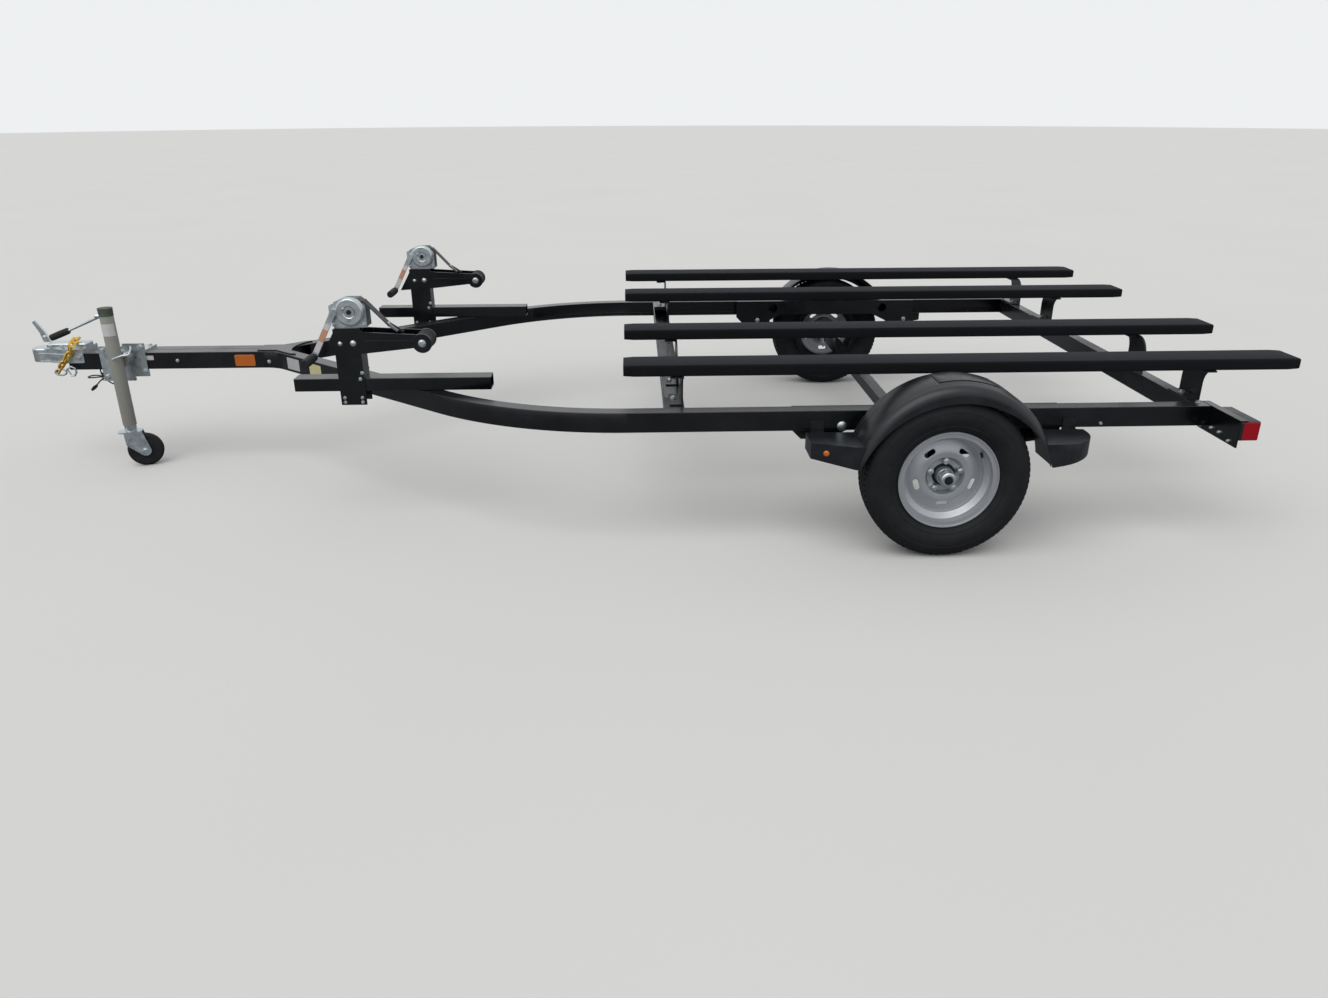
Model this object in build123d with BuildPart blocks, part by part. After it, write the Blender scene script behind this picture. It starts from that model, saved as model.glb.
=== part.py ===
from build123d import *
import os
from math import asin, copysign, cos, degrees, radians, sin, sqrt, tan

# Two-place steel trailer for small boats: a channel frame that narrows to a straight tongue, four
# carpeted bunks, one sprung axle with two wheels, two winch posts, a swivel jack and a ball coupler.
# Millimetres. X runs to the rear, Y to the trailer's right-hand side, Z up, the ground is Z = 0.
# Stations along the trailer are counted from the axle, minus toward the coupler.

os.makedirs("parts", exist_ok=True)

# Overall size
overall_length = 5193.0
overall_width = 2580.0
bunk_rear = 1324.0
axle_x = overall_length / 2 - bunk_rear
nose = bunk_rear - overall_length

# Clearances
turn_gap = 0.05
slide_gap = 0.08
seat_gap = 0.2

# Frame rails: formed channel, open side inward
rail_bottom = 435.0
rail_height = 76.0
rail_top = rail_bottom + rail_height
rail_flange = 63.0
rail_wall = 5.0
rail_y = overall_width / 2 - 210.0
rail_rear = 1018.0
yoke_length = 2719.0
bend_start = nose + yoke_length
bend_r = 1130.0
bend_turn = radians(40.5)
tongue_half = 63.5
tongue_bend_r = 150.0
tongue_front = nose + 179.0

# Crossmembers
front_cross_x = bend_start + 177.5
front_cross_w = 75.0
front_cross_h = 50.0
rear_cross_w = 50.0
rear_cross_x = rail_rear - rear_cross_w / 2
cross_wall = 5.0
toe_y = rail_y - rail_flange

# Bunks
bunk_front = front_cross_x - 187.5
bunk_width = 146.0
bunk_height = 44.0
bunk_bottom = 641.0
bunk_round = 9.0
machine_y = rail_y - 375.0
bunk_half_pitch = 291.0

# Axle, wheels and tyres
tyre_r = 302.0
tyre_width = 178.0
wheel_y = overall_width / 2 - 5.0 - tyre_width / 2
hub_z = tyre_r
spindle_r = 14.0
axle_square = 50.0
rim_seat_r = 165.0
rim_flange_r = 182.0
rim_half = 64.0
pilot_r = 33.0

# Fenders
fender_in = overall_width / 2 - 183.0
fender_out = overall_width / 2
fender_skin = 3.0
fender_arc_r = 360.0
fender_arc_x = 15.0
fender_arc_z = 300.0
flare_round = 34.0
flare_groove = 5.0
lip_arc_x = 20.0
lip_arc_z = 229.0
lip_arc_r = 365.0
step_top = 437.0
step_bottom = 350.0
step_end_bottom = 378.0
step_front = -495.0
step_rear = 535.0
step_taper = 54.0
step_corner_r = 135.0
step_back = 12.0

# Ends of the diagonal part of each rail
bend_end_x = bend_start - bend_r * sin(bend_turn)
bend_end_y = rail_y - bend_r + bend_r * cos(bend_turn)
front_start_y = tongue_half + tongue_bend_r * (1 - cos(bend_turn))
diagonal_run = (bend_end_y - front_start_y) / sin(bend_turn)
front_bend_x = round(bend_end_x - diagonal_run * cos(bend_turn) - tongue_bend_r * sin(bend_turn), 3)

# Support tubes, winch posts and bow rollers stand where each diagonal rail crosses the machine's line
crossing_x = round(bend_end_x - (bend_end_y - machine_y) / tan(bend_turn))
support_w = 76.0
support_h = 51.0
support_front = crossing_x - 446.0
support_rear = crossing_x + 322.0
support_top = rail_top + support_h
post_x = crossing_x - 219.0
post_length = 100.0
post_plate = 5.0
post_low = 456.0
head_top = 762.0
roller_x = post_x + 289.0
roller_z = 701.0
roller_r = 37.0
roller_pin_r = 8.0

# Jack
jack_x = nose + 439.0
jack_y = -150.0
jack_pivot_z = 495.0
jack_top = 730.0
jack_tube_r = 28.5
jack_tube_bottom = 200.0
jack_leg_r = 25.0
jack_fork_top = 170.0
caster_r = 76.0
caster_trail = 44.0
caster_turn = 20.0

sides = [("left", -1), ("right", 1)]


def station(distance):
    return axle_x + distance


def frame_line(inset, hand):
    """Corner and arc points of a line inset from the outer face of one frame rail, rear to front."""
    centre_y = rail_y - bend_r
    front_bend_y = tongue_half + tongue_bend_r
    big = bend_r - inset
    small = tongue_bend_r + inset
    half = bend_turn / 2
    points = [
        (rail_rear, rail_y - inset),
        (bend_start, rail_y - inset),
        (bend_start - big * sin(half), centre_y + big * cos(half)),
        (bend_start - big * sin(bend_turn), centre_y + big * cos(bend_turn)),
        (front_bend_x + small * sin(bend_turn), front_bend_y - small * cos(bend_turn)),
        (front_bend_x + small * sin(half), front_bend_y - small * cos(half)),
        (front_bend_x, tongue_half - inset),
        (tongue_front, tongue_half - inset),
    ]
    return [(station(x), y * hand) for x, y in points]


def frame_band(inset_out, inset_in, hand):
    """Flat strip between two such lines."""
    outer = frame_line(inset_out, hand)
    inner = frame_line(inset_in, hand)
    with BuildSketch() as strip:
        with BuildLine():
            for line in (outer, inner):
                Line(line[0], line[1])
                ThreePointArc(line[1], line[2], line[3])
                Line(line[3], line[4])
                ThreePointArc(line[4], line[5], line[6])
                Line(line[6], line[7])
            Line(outer[0], inner[0])
            Line(outer[7], inner[7])
        make_face()
    return strip.sketch


# Frame rails, liners that box the bent part, and the gusset on top of the Y
liner_rear = bend_start - 520.0
liner_front = round(front_bend_x) + 172.0
for side, hand in sides:
    with BuildPart() as rail:
        with BuildSketch(Plane.XY.offset(rail_bottom)):
            add(frame_band(0, rail_flange, hand))
        extrude(amount=rail_height)
        with BuildSketch(Plane.XY.offset(rail_bottom + rail_wall)):
            add(frame_band(rail_wall, rail_flange + 2, hand))
        extrude(amount=rail_height - 2 * rail_wall, mode=Mode.SUBTRACT)
    rail.part.label = f"rail_{side}"
    export_step(rail.part, f"parts/rail_{side}.step")

    with BuildPart() as liner:
        with BuildSketch(Plane.XY.offset(rail_bottom + rail_wall)):
            add(frame_band(rail_flange - 5, rail_flange, hand))
            with Locations((station((liner_rear + liner_front) / 2), hand * overall_width / 2)):
                Rectangle(liner_rear - liner_front, overall_width, mode=Mode.INTERSECT)
        extrude(amount=rail_height - 2 * rail_wall)
    liner.part.label = f"tongue_liner_{side}"
    export_step(liner.part, f"parts/tongue_liner_{side}.step")

gusset_rear = liner_front
gusset_neck = gusset_rear - 112.0
gusset_front = gusset_neck - 88.0
gusset_lip = 26.0
gusset_notch = 50.0
gusset_front_half = tongue_half - 13.5
gusset_neck_half = tongue_half - 9.5
gusset_rear_half = tongue_half + 64.5
gusset_thick = 5.0
with BuildPart() as gusset:
    with BuildSketch(Plane.XY.offset(rail_top)):
        with BuildLine():
            Polyline(
                (station(gusset_rear), gusset_rear_half),
                (station(gusset_rear - gusset_lip), gusset_rear_half - 2),
                (station(gusset_neck), gusset_neck_half),
                (station(gusset_front), gusset_front_half),
                (station(gusset_front), -gusset_front_half),
                (station(gusset_neck), -gusset_neck_half),
                (station(gusset_rear - gusset_lip), 2 - gusset_rear_half),
                (station(gusset_rear), -gusset_rear_half),
            )
            ThreePointArc(
                (station(gusset_rear), -gusset_rear_half),
                (station(gusset_rear - gusset_notch), 0),
                (station(gusset_rear), gusset_rear_half))
        make_face()
    extrude(amount=gusset_thick)
gusset.part.label = "tongue_gusset"
export_step(gusset.part, "parts/tongue_gusset.step")

# Front crossmember: channel laid open side up, with end plates for the outer brackets
end_plate_length = 136.0
with BuildPart() as cross_front:
    with BuildSketch(Plane.YZ.offset(station(front_cross_x) - front_cross_w / 2)):
        with Locations((0, rail_top - front_cross_h / 2)):
            Rectangle(2 * toe_y, front_cross_h)
    extrude(amount=front_cross_w)
    with Locations((station(front_cross_x), 0, rail_top - front_cross_h / 2 + cross_wall)):
        Box(front_cross_w - 2 * cross_wall, 2 * toe_y + 2, front_cross_h, mode=Mode.SUBTRACT)
    for side, hand in sides:
        with Locations((station(front_cross_x), hand * (toe_y - end_plate_length / 2), rail_top - 2.5)):
            Box(front_cross_w - 2 * cross_wall + 1, end_plate_length, cross_wall)
cross_front.part.label = "crossmember_front"
export_step(cross_front.part, "parts/crossmember_front.step")

# Rear crossmember: closed tube between the rails
with BuildPart() as cross_rear:
    with Locations((station(rear_cross_x), 0, rail_bottom + rail_height / 2)):
        Box(rear_cross_w, 2 * toe_y, rail_height)
        Box(rear_cross_w - 2 * cross_wall, 2 * toe_y + 2, rail_height - 2 * cross_wall, mode=Mode.SUBTRACT)
cross_rear.part.label = "crossmember_rear"
export_step(cross_rear.part, "parts/crossmember_rear.step")

# Bunks: carpeted boards in two pairs
bunks = [
    ("left_outer", -machine_y - bunk_half_pitch),
    ("left_inner", -machine_y + bunk_half_pitch),
    ("right_inner", machine_y - bunk_half_pitch),
    ("right_outer", machine_y + bunk_half_pitch),
]
for place, centre_y in bunks:
    with BuildPart() as bunk:
        with BuildSketch(Plane.YZ.offset(station(bunk_rear))):
            with Locations((centre_y, bunk_bottom + bunk_height / 2)):
                RectangleRounded(bunk_width, bunk_height, bunk_round)
        extrude(amount=bunk_front - bunk_rear)
    bunk.part.label = f"bunk_{place}"
    export_step(bunk.part, f"parts/bunk_{place}.step")

# Bunk brackets: plates that stand across the crossmembers and curve outward, each with a foot on the
# crossmember and a flange under the bunk, both bent forward
bracket_t = 6.0
bracket_bend = 44.0
bracket_foot_in = 150.0
bracket_foot_out = 290.0
bracket_head_in = bunk_half_pitch - bunk_width / 2
bracket_head_out = bunk_half_pitch + bunk_width / 2
bracket_in_r = bracket_head_in - bracket_foot_in
bracket_out_r = 60.0
front_inner_seat = rail_top - front_cross_h + cross_wall


def bracket_outline(centre_y, lean, seat_z):
    """Front view of one plate, upright at its foot and swept outward to the width of the bunk."""
    under = bunk_bottom - bracket_t
    in_mid, out_mid = bracket_in_r * sqrt(0.5), bracket_out_r * sqrt(0.5)

    def spot(out, height):
        return (centre_y + lean * out, height)

    with BuildLine() as view:
        Polyline(
            spot(bracket_foot_in, bunk_bottom - bracket_in_r),
            spot(bracket_foot_in, seat_z),
            spot(bracket_foot_out, seat_z),
            spot(bracket_foot_out, under - bracket_out_r),
        )
        ThreePointArc(
            spot(bracket_foot_out, under - bracket_out_r),
            spot(bracket_foot_out + bracket_out_r - out_mid, under - bracket_out_r + out_mid),
            spot(bracket_foot_out + bracket_out_r, under))
        Polyline(
            spot(bracket_foot_out + bracket_out_r, under),
            spot(bracket_head_out, under),
            spot(bracket_head_out, bunk_bottom),
            spot(bracket_head_in, bunk_bottom),
        )
        ThreePointArc(
            spot(bracket_head_in, bunk_bottom),
            spot(bracket_head_in - in_mid, bunk_bottom - bracket_in_r + in_mid),
            spot(bracket_foot_in, bunk_bottom - bracket_in_r))
    return view.edges()


bracket_rows = [
    ("front", front_cross_x + front_cross_w / 2 - cross_wall, rail_top, front_inner_seat),
    ("rear", rear_cross_x + rear_cross_w / 2, rail_top, rail_top),
]
for row, back_x, outer_seat, inner_seat in bracket_rows:
    plate_x = back_x - bracket_t
    bend_x = station(plate_x - bracket_bend / 2)
    foot_wide = bracket_foot_out - bracket_foot_in
    foot_mid = (bracket_foot_out + bracket_foot_in) / 2
    with BuildPart() as brackets:
        for side, hand in sides:
            for lean, seat in ((hand, outer_seat), (-hand, inner_seat)):
                centre_y = hand * machine_y
                with BuildSketch(Plane.YZ.offset(station(plate_x))):
                    make_face(bracket_outline(centre_y, lean, seat))
                extrude(amount=bracket_t)
                with Locations((bend_x, centre_y + lean * foot_mid, seat + bracket_t / 2)):
                    Box(bracket_bend, foot_wide, bracket_t)
                with Locations((bend_x, centre_y + lean * bunk_half_pitch, bunk_bottom - bracket_t / 2)):
                    Box(bracket_bend, bunk_width, bracket_t)
    brackets.part.label = f"bunk_brackets_{row}"
    export_step(brackets.part, f"parts/bunk_brackets_{row}.step")

# Axle beam with a spindle at each end
beam_end = wheel_y - 104.0
spindle_root = wheel_y - 96.0
spindle_end = wheel_y + 22.0
with BuildPart() as axle:
    with Locations((axle_x, 0, hub_z)):
        Box(axle_square, 2 * beam_end, axle_square)
        Box(axle_square - 10, 2 * beam_end + 2, axle_square - 10, mode=Mode.SUBTRACT)
    for side, hand in sides:
        with Locations((axle_x, hand * (spindle_root - 28), hub_z)):
            Cylinder(22, 80, rotation=(90, 0, 0))
        with Locations((axle_x, hand * (spindle_root + spindle_end) / 2, hub_z)):
            Cylinder(spindle_r, spindle_end - spindle_root, rotation=(90, 0, 0))
axle.part.label = "axle_beam"
export_step(axle.part, "parts/axle_beam.step")

# Leaf springs: the longest leaf on top, each shorter one curved to lie against it
spring_y = rail_y - 34.0
spring_w = 44.0
leaf_t = 8.0
spring_seat = hub_z + axle_square / 2
spring_eye_r = 17.0
spring_eye_z = 405.0
eye_reach = 417.0
leaves = [
    ("fourth", 0, 170),
    ("third", 1, 255),
    ("second", 2, 340),
    ("main", 3, eye_reach),
]
leaf_sag = spring_eye_z - spring_eye_r - spring_seat - 3 * leaf_t
leaf_arc_r = (eye_reach ** 2 + leaf_sag ** 2) / (2 * leaf_sag)
leaf_centre_z = spring_seat + 3 * leaf_t + leaf_arc_r
for side, hand in sides:
    with BuildPart() as spring:
        for leaf, step, reach in leaves:
            r_low = leaf_centre_z - spring_seat - step * leaf_t
            r_high = r_low - leaf_t
            with BuildSketch(Plane.XZ.offset(-hand * spring_y - spring_w / 2)):
                with BuildLine():
                    a = asin(reach / r_low)
                    low_end = (axle_x + r_low * sin(a), leaf_centre_z - r_low * cos(a))
                    low_start = (axle_x - r_low * sin(a), leaf_centre_z - r_low * cos(a))
                    high_end = (axle_x + r_high * sin(a), leaf_centre_z - r_high * cos(a))
                    high_start = (axle_x - r_high * sin(a), leaf_centre_z - r_high * cos(a))
                    ThreePointArc(low_start, (axle_x, leaf_centre_z - r_low), low_end)
                    ThreePointArc(high_start, (axle_x, leaf_centre_z - r_high), high_end)
                    Line(low_start, high_start)
                    Line(low_end, high_end)
                make_face()
            extrude(amount=spring_w)
        for eye_x in (-eye_reach, eye_reach):
            with BuildSketch(Plane.XZ.offset(-hand * spring_y - spring_w / 2)):
                with Locations((station(eye_x), spring_eye_z)):
                    Circle(spring_eye_r)
            extrude(amount=spring_w)
            with BuildSketch(Plane.XZ.offset(-hand * spring_y - spring_w / 2)):
                with Locations((station(eye_x), spring_eye_z)):
                    Circle(spring_eye_r - leaf_t)
            extrude(amount=spring_w, mode=Mode.SUBTRACT)
    spring.part.label = f"spring_{side}"
    export_step(spring.part, f"parts/spring_{side}.step")

# Hangers: a long plate welded to each rail's inner toes, outer ears at the spring eyes, and eye bolts
hanger_front = -537.0
hanger_rear = 463.0
hanger_low = 392.0
hanger_t = 6.0
hanger_mid = (hanger_front + hanger_rear) / 2
for side, hand in sides:
    with BuildPart() as hanger:
        with BuildSketch(Plane.XZ.offset(-hand * (toe_y - hanger_t / 2) - hanger_t / 2)):
            with BuildLine():
                Polyline(
                    (station(hanger_front), rail_top),
                    (station(hanger_front), hanger_low + 30),
                    (station(hanger_front + 40), hanger_low - 10),
                    (station(hanger_front + 150), hanger_low - 10),
                    (station(hanger_front + 250), rail_bottom),
                    (station(hanger_rear - 230), rail_bottom),
                    (station(hanger_rear - 120), hanger_low - 10),
                    (station(hanger_rear - 30), hanger_low - 10),
                    (station(hanger_rear), hanger_low + 30),
                    (station(hanger_rear), rail_top),
                    close=True,
                )
            make_face()
            for hole_x, hole_z in ((-330, 470), (290, 470)):
                with Locations((station(hole_x), hole_z)):
                    Circle(24, mode=Mode.SUBTRACT)
        extrude(amount=hanger_t)
        for eye_x in (-eye_reach, eye_reach):
            ear_z = (rail_bottom + hanger_low - 10) / 2
            with Locations((station(eye_x), hand * (rail_y - hanger_t / 2), ear_z)):
                Box(84, hanger_t, rail_bottom - hanger_low + 10)
            with Locations((station(eye_x), hand * (toe_y + rail_flange / 2 - 3), spring_eye_z)):
                Cylinder(spring_eye_r - leaf_t - seat_gap, rail_flange + 22, rotation=(90, 0, 0))
    hanger.part.label = f"hanger_{side}"
    export_step(hanger.part, f"parts/hanger_{side}.step")

# Spring clamps: a plate under the axle and two U-bolts over each spring
clamp_plate = 8.0
clamp_bolt_r = 6.0
clamp_top = spring_seat + 4 * leaf_t + 0.6
with BuildPart() as clamps:
    for side, hand in sides:
        centre_y = hand * spring_y
        with Locations((axle_x, centre_y, hub_z - axle_square / 2 - clamp_plate / 2)):
            Box(110, 92, clamp_plate)
        for shift in (-axle_square / 2 - clamp_bolt_r, axle_square / 2 + clamp_bolt_r):
            leg_low = hub_z - axle_square / 2 - clamp_plate - 22
            leg_high = clamp_top + clamp_bolt_r
            for leg in (-spring_w / 2 - clamp_bolt_r, spring_w / 2 + clamp_bolt_r):
                with Locations((axle_x + shift, centre_y + leg, (leg_low + leg_high) / 2)):
                    Cylinder(clamp_bolt_r, leg_high - leg_low)
            with Locations((axle_x + shift, centre_y, leg_high)):
                Cylinder(clamp_bolt_r, spring_w + 2 * clamp_bolt_r, rotation=(90, 0, 0))
clamps.part.label = "spring_clamps"
export_step(clamps.part, "parts/spring_clamps.step")

# Hubs, wheels and tyres, turned about the spindle: (distance outward from mid-tyre, radius)
hub_profile = [
    (-70, spindle_r + turn_gap),
    (-70, 33),
    (-9, 33),
    (-9, 70),
    (0, 70),
    (0, pilot_r - seat_gap),
    (30, pilot_r - seat_gap),
    (34, 29),
    (66, 27),
    (70, 22),
    (70, 0),
    (26, 0),
    (26, spindle_r + turn_gap),
]
wheel_profile = [
    (0, pilot_r),
    (0, 66),
    (20, 76),
    (22, 92),
    (8, 132),
    (8, 141),
    (-26, 141),
    (-40, 161),
    (-68, 161),
    (-68, 178),
    (-74, 178),
    (-74, rim_flange_r),
    (-rim_half, rim_flange_r),
    (-rim_half, rim_seat_r),
    (-38, rim_seat_r),
    (-24, 145),
    (24, 145),
    (38, rim_seat_r),
    (rim_half, rim_seat_r),
    (rim_half, rim_flange_r),
    (74, rim_flange_r),
    (74, 178),
    (68, 178),
    (68, 161),
    (40, 161),
    (26, 141),
    (12, 141),
    (12, 134),
    (27, 94),
    (25, 72),
    (4, 60),
    (4, pilot_r),
]
tyre_half_outline = [
    (50, rim_seat_r),
    (rim_half, rim_seat_r),
    (rim_half, rim_flange_r),
    (tyre_width / 2, 234),
    (84, 270),
    (60, tyre_r),
]
tyre_half_cavity = [
    (50, rim_seat_r),
    (76, 236),
    (56, 286),
]
window_r = 106.0
window_length = 44.0
window_width = 19.0
nut_circle_r = 57.15
nut_r = 12.0
nut_height = 23.0
nut_seat = 2.0
for side, hand in sides:
    turning = Plane(origin=(axle_x, hand * wheel_y, hub_z), x_dir=(0, hand, 0), z_dir=(hand, 0, 0))
    face_on = Plane(origin=(axle_x, hand * wheel_y, hub_z), x_dir=(1, 0, 0), z_dir=(0, -1, 0))
    nut_face = Plane(
        origin=(axle_x, hand * (wheel_y + nut_seat), hub_z),
        x_dir=(1, 0, 0),
        z_dir=(0, hand, 0))
    spin = Axis((axle_x, 0, hub_z), (0, 1, 0))

    with BuildPart() as hub:
        with BuildSketch(turning):
            with BuildLine():
                Polyline(*hub_profile, close=True)
            make_face()
        revolve(axis=spin)
    hub.part.label = f"hub_{side}"
    export_step(hub.part, f"parts/hub_{side}.step")

    with BuildPart() as wheel:
        with BuildSketch(turning):
            with BuildLine():
                Polyline(*wheel_profile, close=True)
            make_face()
        revolve(axis=spin)
        with BuildSketch(face_on):
            with PolarLocations(window_r, 5, start_angle=-90):
                SlotOverall(window_length, window_width, rotation=90)
        extrude(amount=40, both=True, mode=Mode.SUBTRACT)
        with BuildSketch(nut_face):
            with PolarLocations(nut_circle_r, 5, start_angle=90):
                RegularPolygon(nut_r, 6)
        extrude(amount=nut_height)
    wheel.part.label = f"wheel_{side}"
    export_step(wheel.part, f"parts/wheel_{side}.step")

    with BuildPart() as tyre:
        with BuildSketch(turning):
            with BuildLine():
                Polyline(
                    *tyre_half_outline,
                    *[(-across, r) for across, r in reversed(tyre_half_outline)],
                    *[(-across, r) for across, r in tyre_half_cavity[1:]],
                    *reversed(tyre_half_cavity[1:]),
                    close=True,
                )
            make_face()
        revolve(axis=spin)
    tyre.part.label = f"tyre_{side}"
    export_step(tyre.part, f"parts/tyre_{side}.step")

# Fenders: an arched top with a groove and a rounded flare, a raised panel and a step box at each end
fender_end = degrees(asin((step_bottom - fender_arc_z) / fender_arc_r))
flare_side = fender_arc_r - flare_groove - flare_round
flare_y = fender_out - flare_round
flare_low = flare_side - 31.0
groove_width = 12.0
step_inside_front = fender_arc_x + 65.0 - fender_arc_r
step_inside_rear = fender_arc_x + fender_arc_r - 90.0
step_straight = -345.0
step_slope = 170.0
panel_start = 68.0
panel_turn = 34.0
panel_rise = 3.0
panel_margin = 14.0
arm_length = 50.0
arm_t = 6.0
arm_lap = 14.0
arm_inset = 45.0


def shell_line(inset):
    """The arch's section, out and up from its middle: the top, the groove, the flare and its side."""
    top = fender_arc_r - inset
    Line((fender_in, top), (flare_y - groove_width, top))
    Line((flare_y - groove_width, top), (flare_y, top - flare_groove))
    CenterArc((flare_y, flare_side), flare_round - inset, 0, 90)
    Line((fender_out - inset, flare_side), (fender_out - inset, flare_low))


def arc_plane(hand, angle):
    """The plane of the arch's section at an angle above the horizontal, behind the axle."""
    sine, cosine = sin(radians(angle)), cos(radians(angle))
    return Plane(
        origin=(station(fender_arc_x), 0, fender_arc_z),
        x_dir=(0, hand, 0),
        z_dir=(hand * sine, 0, -hand * cosine))


def step_outline(hand, inset):
    """Plan of the two step boxes: the front one tapers, the rear one has a large round corner."""
    inner = hand * (fender_in + inset)
    outer = hand * (fender_out - step_back - inset)
    front = station(step_front) + inset
    rear = station(step_rear) - inset
    corner_y = outer - hand * step_corner_r
    with BuildLine() as front_plan:
        Polyline(
            (station(step_inside_front), inner),
            (front, inner),
            (front, outer - hand * step_taper),
            (station(step_straight), outer),
            (station(step_inside_front), outer),
            close=True,
        )
    with BuildLine() as rear_plan:
        Polyline(
            (rear - step_corner_r, outer),
            (station(step_inside_rear), outer),
            (station(step_inside_rear), inner),
            (rear, inner),
            (rear, corner_y),
        )
        RadiusArc((rear, corner_y), (rear - step_corner_r, outer), -hand * step_corner_r)
    make_face(front_plan.edges())
    make_face(rear_plan.edges())


for side, hand in sides:
    arc_axis = Axis((station(fender_arc_x), 0, fender_arc_z), (0, -1, 0))
    arch_turn = 180 - 2 * fender_end
    with BuildPart() as fender:
        with BuildSketch(Plane.XY.offset(step_bottom)):
            step_outline(hand, 0)
        extrude(amount=step_top - step_bottom)
        with BuildSketch(Plane.XY.offset(step_bottom)):
            step_outline(hand, fender_skin)
        extrude(amount=step_top - fender_skin - step_bottom, mode=Mode.SUBTRACT)
        with BuildSketch(Plane.XZ.offset(-fender_out - 1)):
            for end in (step_front, step_rear):
                with BuildLine():
                    Polyline(
                        (station(end + copysign(1, end)), step_bottom - 1),
                        (station(end + copysign(1, end)), step_end_bottom),
                        (station(end - copysign(step_slope, end)), step_bottom - 1),
                        close=True,
                    )
                make_face()
        extrude(amount=2 * fender_out + 2, mode=Mode.SUBTRACT)
        with BuildSketch(arc_plane(hand, fender_end)):
            with BuildLine():
                shell_line(fender_skin)
                Polyline(
                    (fender_out - fender_skin, flare_low),
                    (fender_out - fender_skin, 0),
                    (fender_in, 0),
                    (fender_in, fender_arc_r - fender_skin),
                )
            make_face()
        revolve(axis=arc_axis, revolution_arc=arch_turn, mode=Mode.SUBTRACT)
        with BuildSketch(arc_plane(hand, fender_end)):
            with BuildLine():
                shell_line(0)
                Line((fender_out, flare_low), (fender_out - fender_skin, flare_low))
                shell_line(fender_skin)
                Line((fender_in, fender_arc_r - fender_skin), (fender_in, fender_arc_r))
            make_face()
        revolve(axis=arc_axis, revolution_arc=arch_turn)
        with BuildSketch(arc_plane(hand, panel_start)):
            with BuildLine():
                Polyline(
                    (fender_in + panel_margin, fender_arc_r - 1),
                    (fender_in + panel_margin, fender_arc_r + panel_rise),
                    (flare_y - panel_margin - groove_width, fender_arc_r + panel_rise),
                    (flare_y - panel_margin - groove_width, fender_arc_r - 1),
                    close=True,
                )
            make_face()
        revolve(axis=arc_axis, revolution_arc=panel_turn)
        with Locations((station(lip_arc_x), hand * (flare_y + fender_out) / 2, lip_arc_z)):
            Cylinder(lip_arc_r, flare_round + 2, rotation=(90, 0, 0), mode=Mode.SUBTRACT)
        for arm_x in (step_front + arm_inset, step_rear - arm_inset):
            arm_y = hand * (rail_y + fender_in + arm_lap) / 2
            with Locations((station(arm_x), arm_y, step_top - fender_skin - arm_t / 2)):
                Box(arm_length, fender_in + arm_lap - rail_y, arm_t)
            with Locations((station(arm_x), hand * (rail_y + arm_t / 2), rail_bottom + 16)):
                Box(arm_length, arm_t, 46)
    fender.part.label = f"fender_{side}"
    export_step(fender.part, f"parts/fender_{side}.step")

# Support tubes, winch posts, winch heads and bow rollers stand on the line of each machine
support_mid = (support_front + support_rear) / 2
head_out = support_w / 2 + post_plate
roller_gap = 4.0
for side, hand in sides:
    line_y = hand * machine_y
    with BuildPart() as support:
        with Locations((station(support_mid), line_y, rail_top + support_h / 2)):
            Box(support_rear - support_front, support_w, support_h)
        with Locations((station(support_mid + 6), line_y, rail_top + support_h / 2)):
            Box(support_rear - support_front, support_w - 8, support_h - 8, mode=Mode.SUBTRACT)
    support.part.label = f"support_tube_{side}"
    export_step(support.part, f"parts/support_tube_{side}.step")

    with BuildPart() as post:
        with Locations((station(post_x), line_y, (post_low + head_top - 4) / 2)):
            Box(post_length, support_w + 2 * post_plate, head_top - 4 - post_low)
            Box(post_length - 2 * post_plate, support_w, head_top, mode=Mode.SUBTRACT)
        with Locations((station(post_x), line_y, (post_low - 50 + support_top) / 2)):
            Box(post_length + 2, support_w, support_top - post_low + 50, mode=Mode.SUBTRACT)
    post.part.label = f"winch_post_{side}"
    export_step(post.part, f"parts/winch_post_{side}.step")

    with BuildPart() as head:
        for cheek in (-1, 1):
            cheek_y = line_y + cheek * (head_out + post_plate / 2)
            with BuildSketch(Plane.XZ.offset(-cheek_y - post_plate / 2)):
                with BuildLine():
                    Polyline(
                        (station(post_x - 38), head_top),
                        (station(post_x - 101), 654),
                        (station(post_x + 77), 664),
                        (station(post_x + 259), 683),
                        (station(post_x + 270), 668),
                        (station(post_x + 305), 668),
                        (station(post_x + 322), 690),
                        (station(post_x + 322), 712),
                        (station(post_x + 305), 733),
                        (station(post_x + 275), 735),
                        (station(post_x + 63), 747),
                        (station(post_x + 50), head_top),
                        close=True,
                    )
                make_face()
            extrude(amount=post_plate)
        with Locations((station(post_x + 6), line_y, head_top - 2)):
            Box(88, 2 * head_out, 4)
        with Locations((station(roller_x), line_y, roller_z)):
            Cylinder(roller_pin_r, 2 * head_out + 24, rotation=(90, 0, 0))
    head.part.label = f"winch_head_{side}"
    export_step(head.part, f"parts/winch_head_{side}.step")

    with BuildPart() as roller:
        with Locations((station(roller_x), line_y, roller_z)):
            Cylinder(roller_r, 2 * (head_out - roller_gap), rotation=(90, 0, 0))
            Cylinder(roller_pin_r + turn_gap, 2 * head_out, rotation=(90, 0, 0), mode=Mode.SUBTRACT)
    roller.part.label = f"bow_roller_{side}"
    export_step(roller.part, f"parts/bow_roller_{side}.step")

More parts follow.
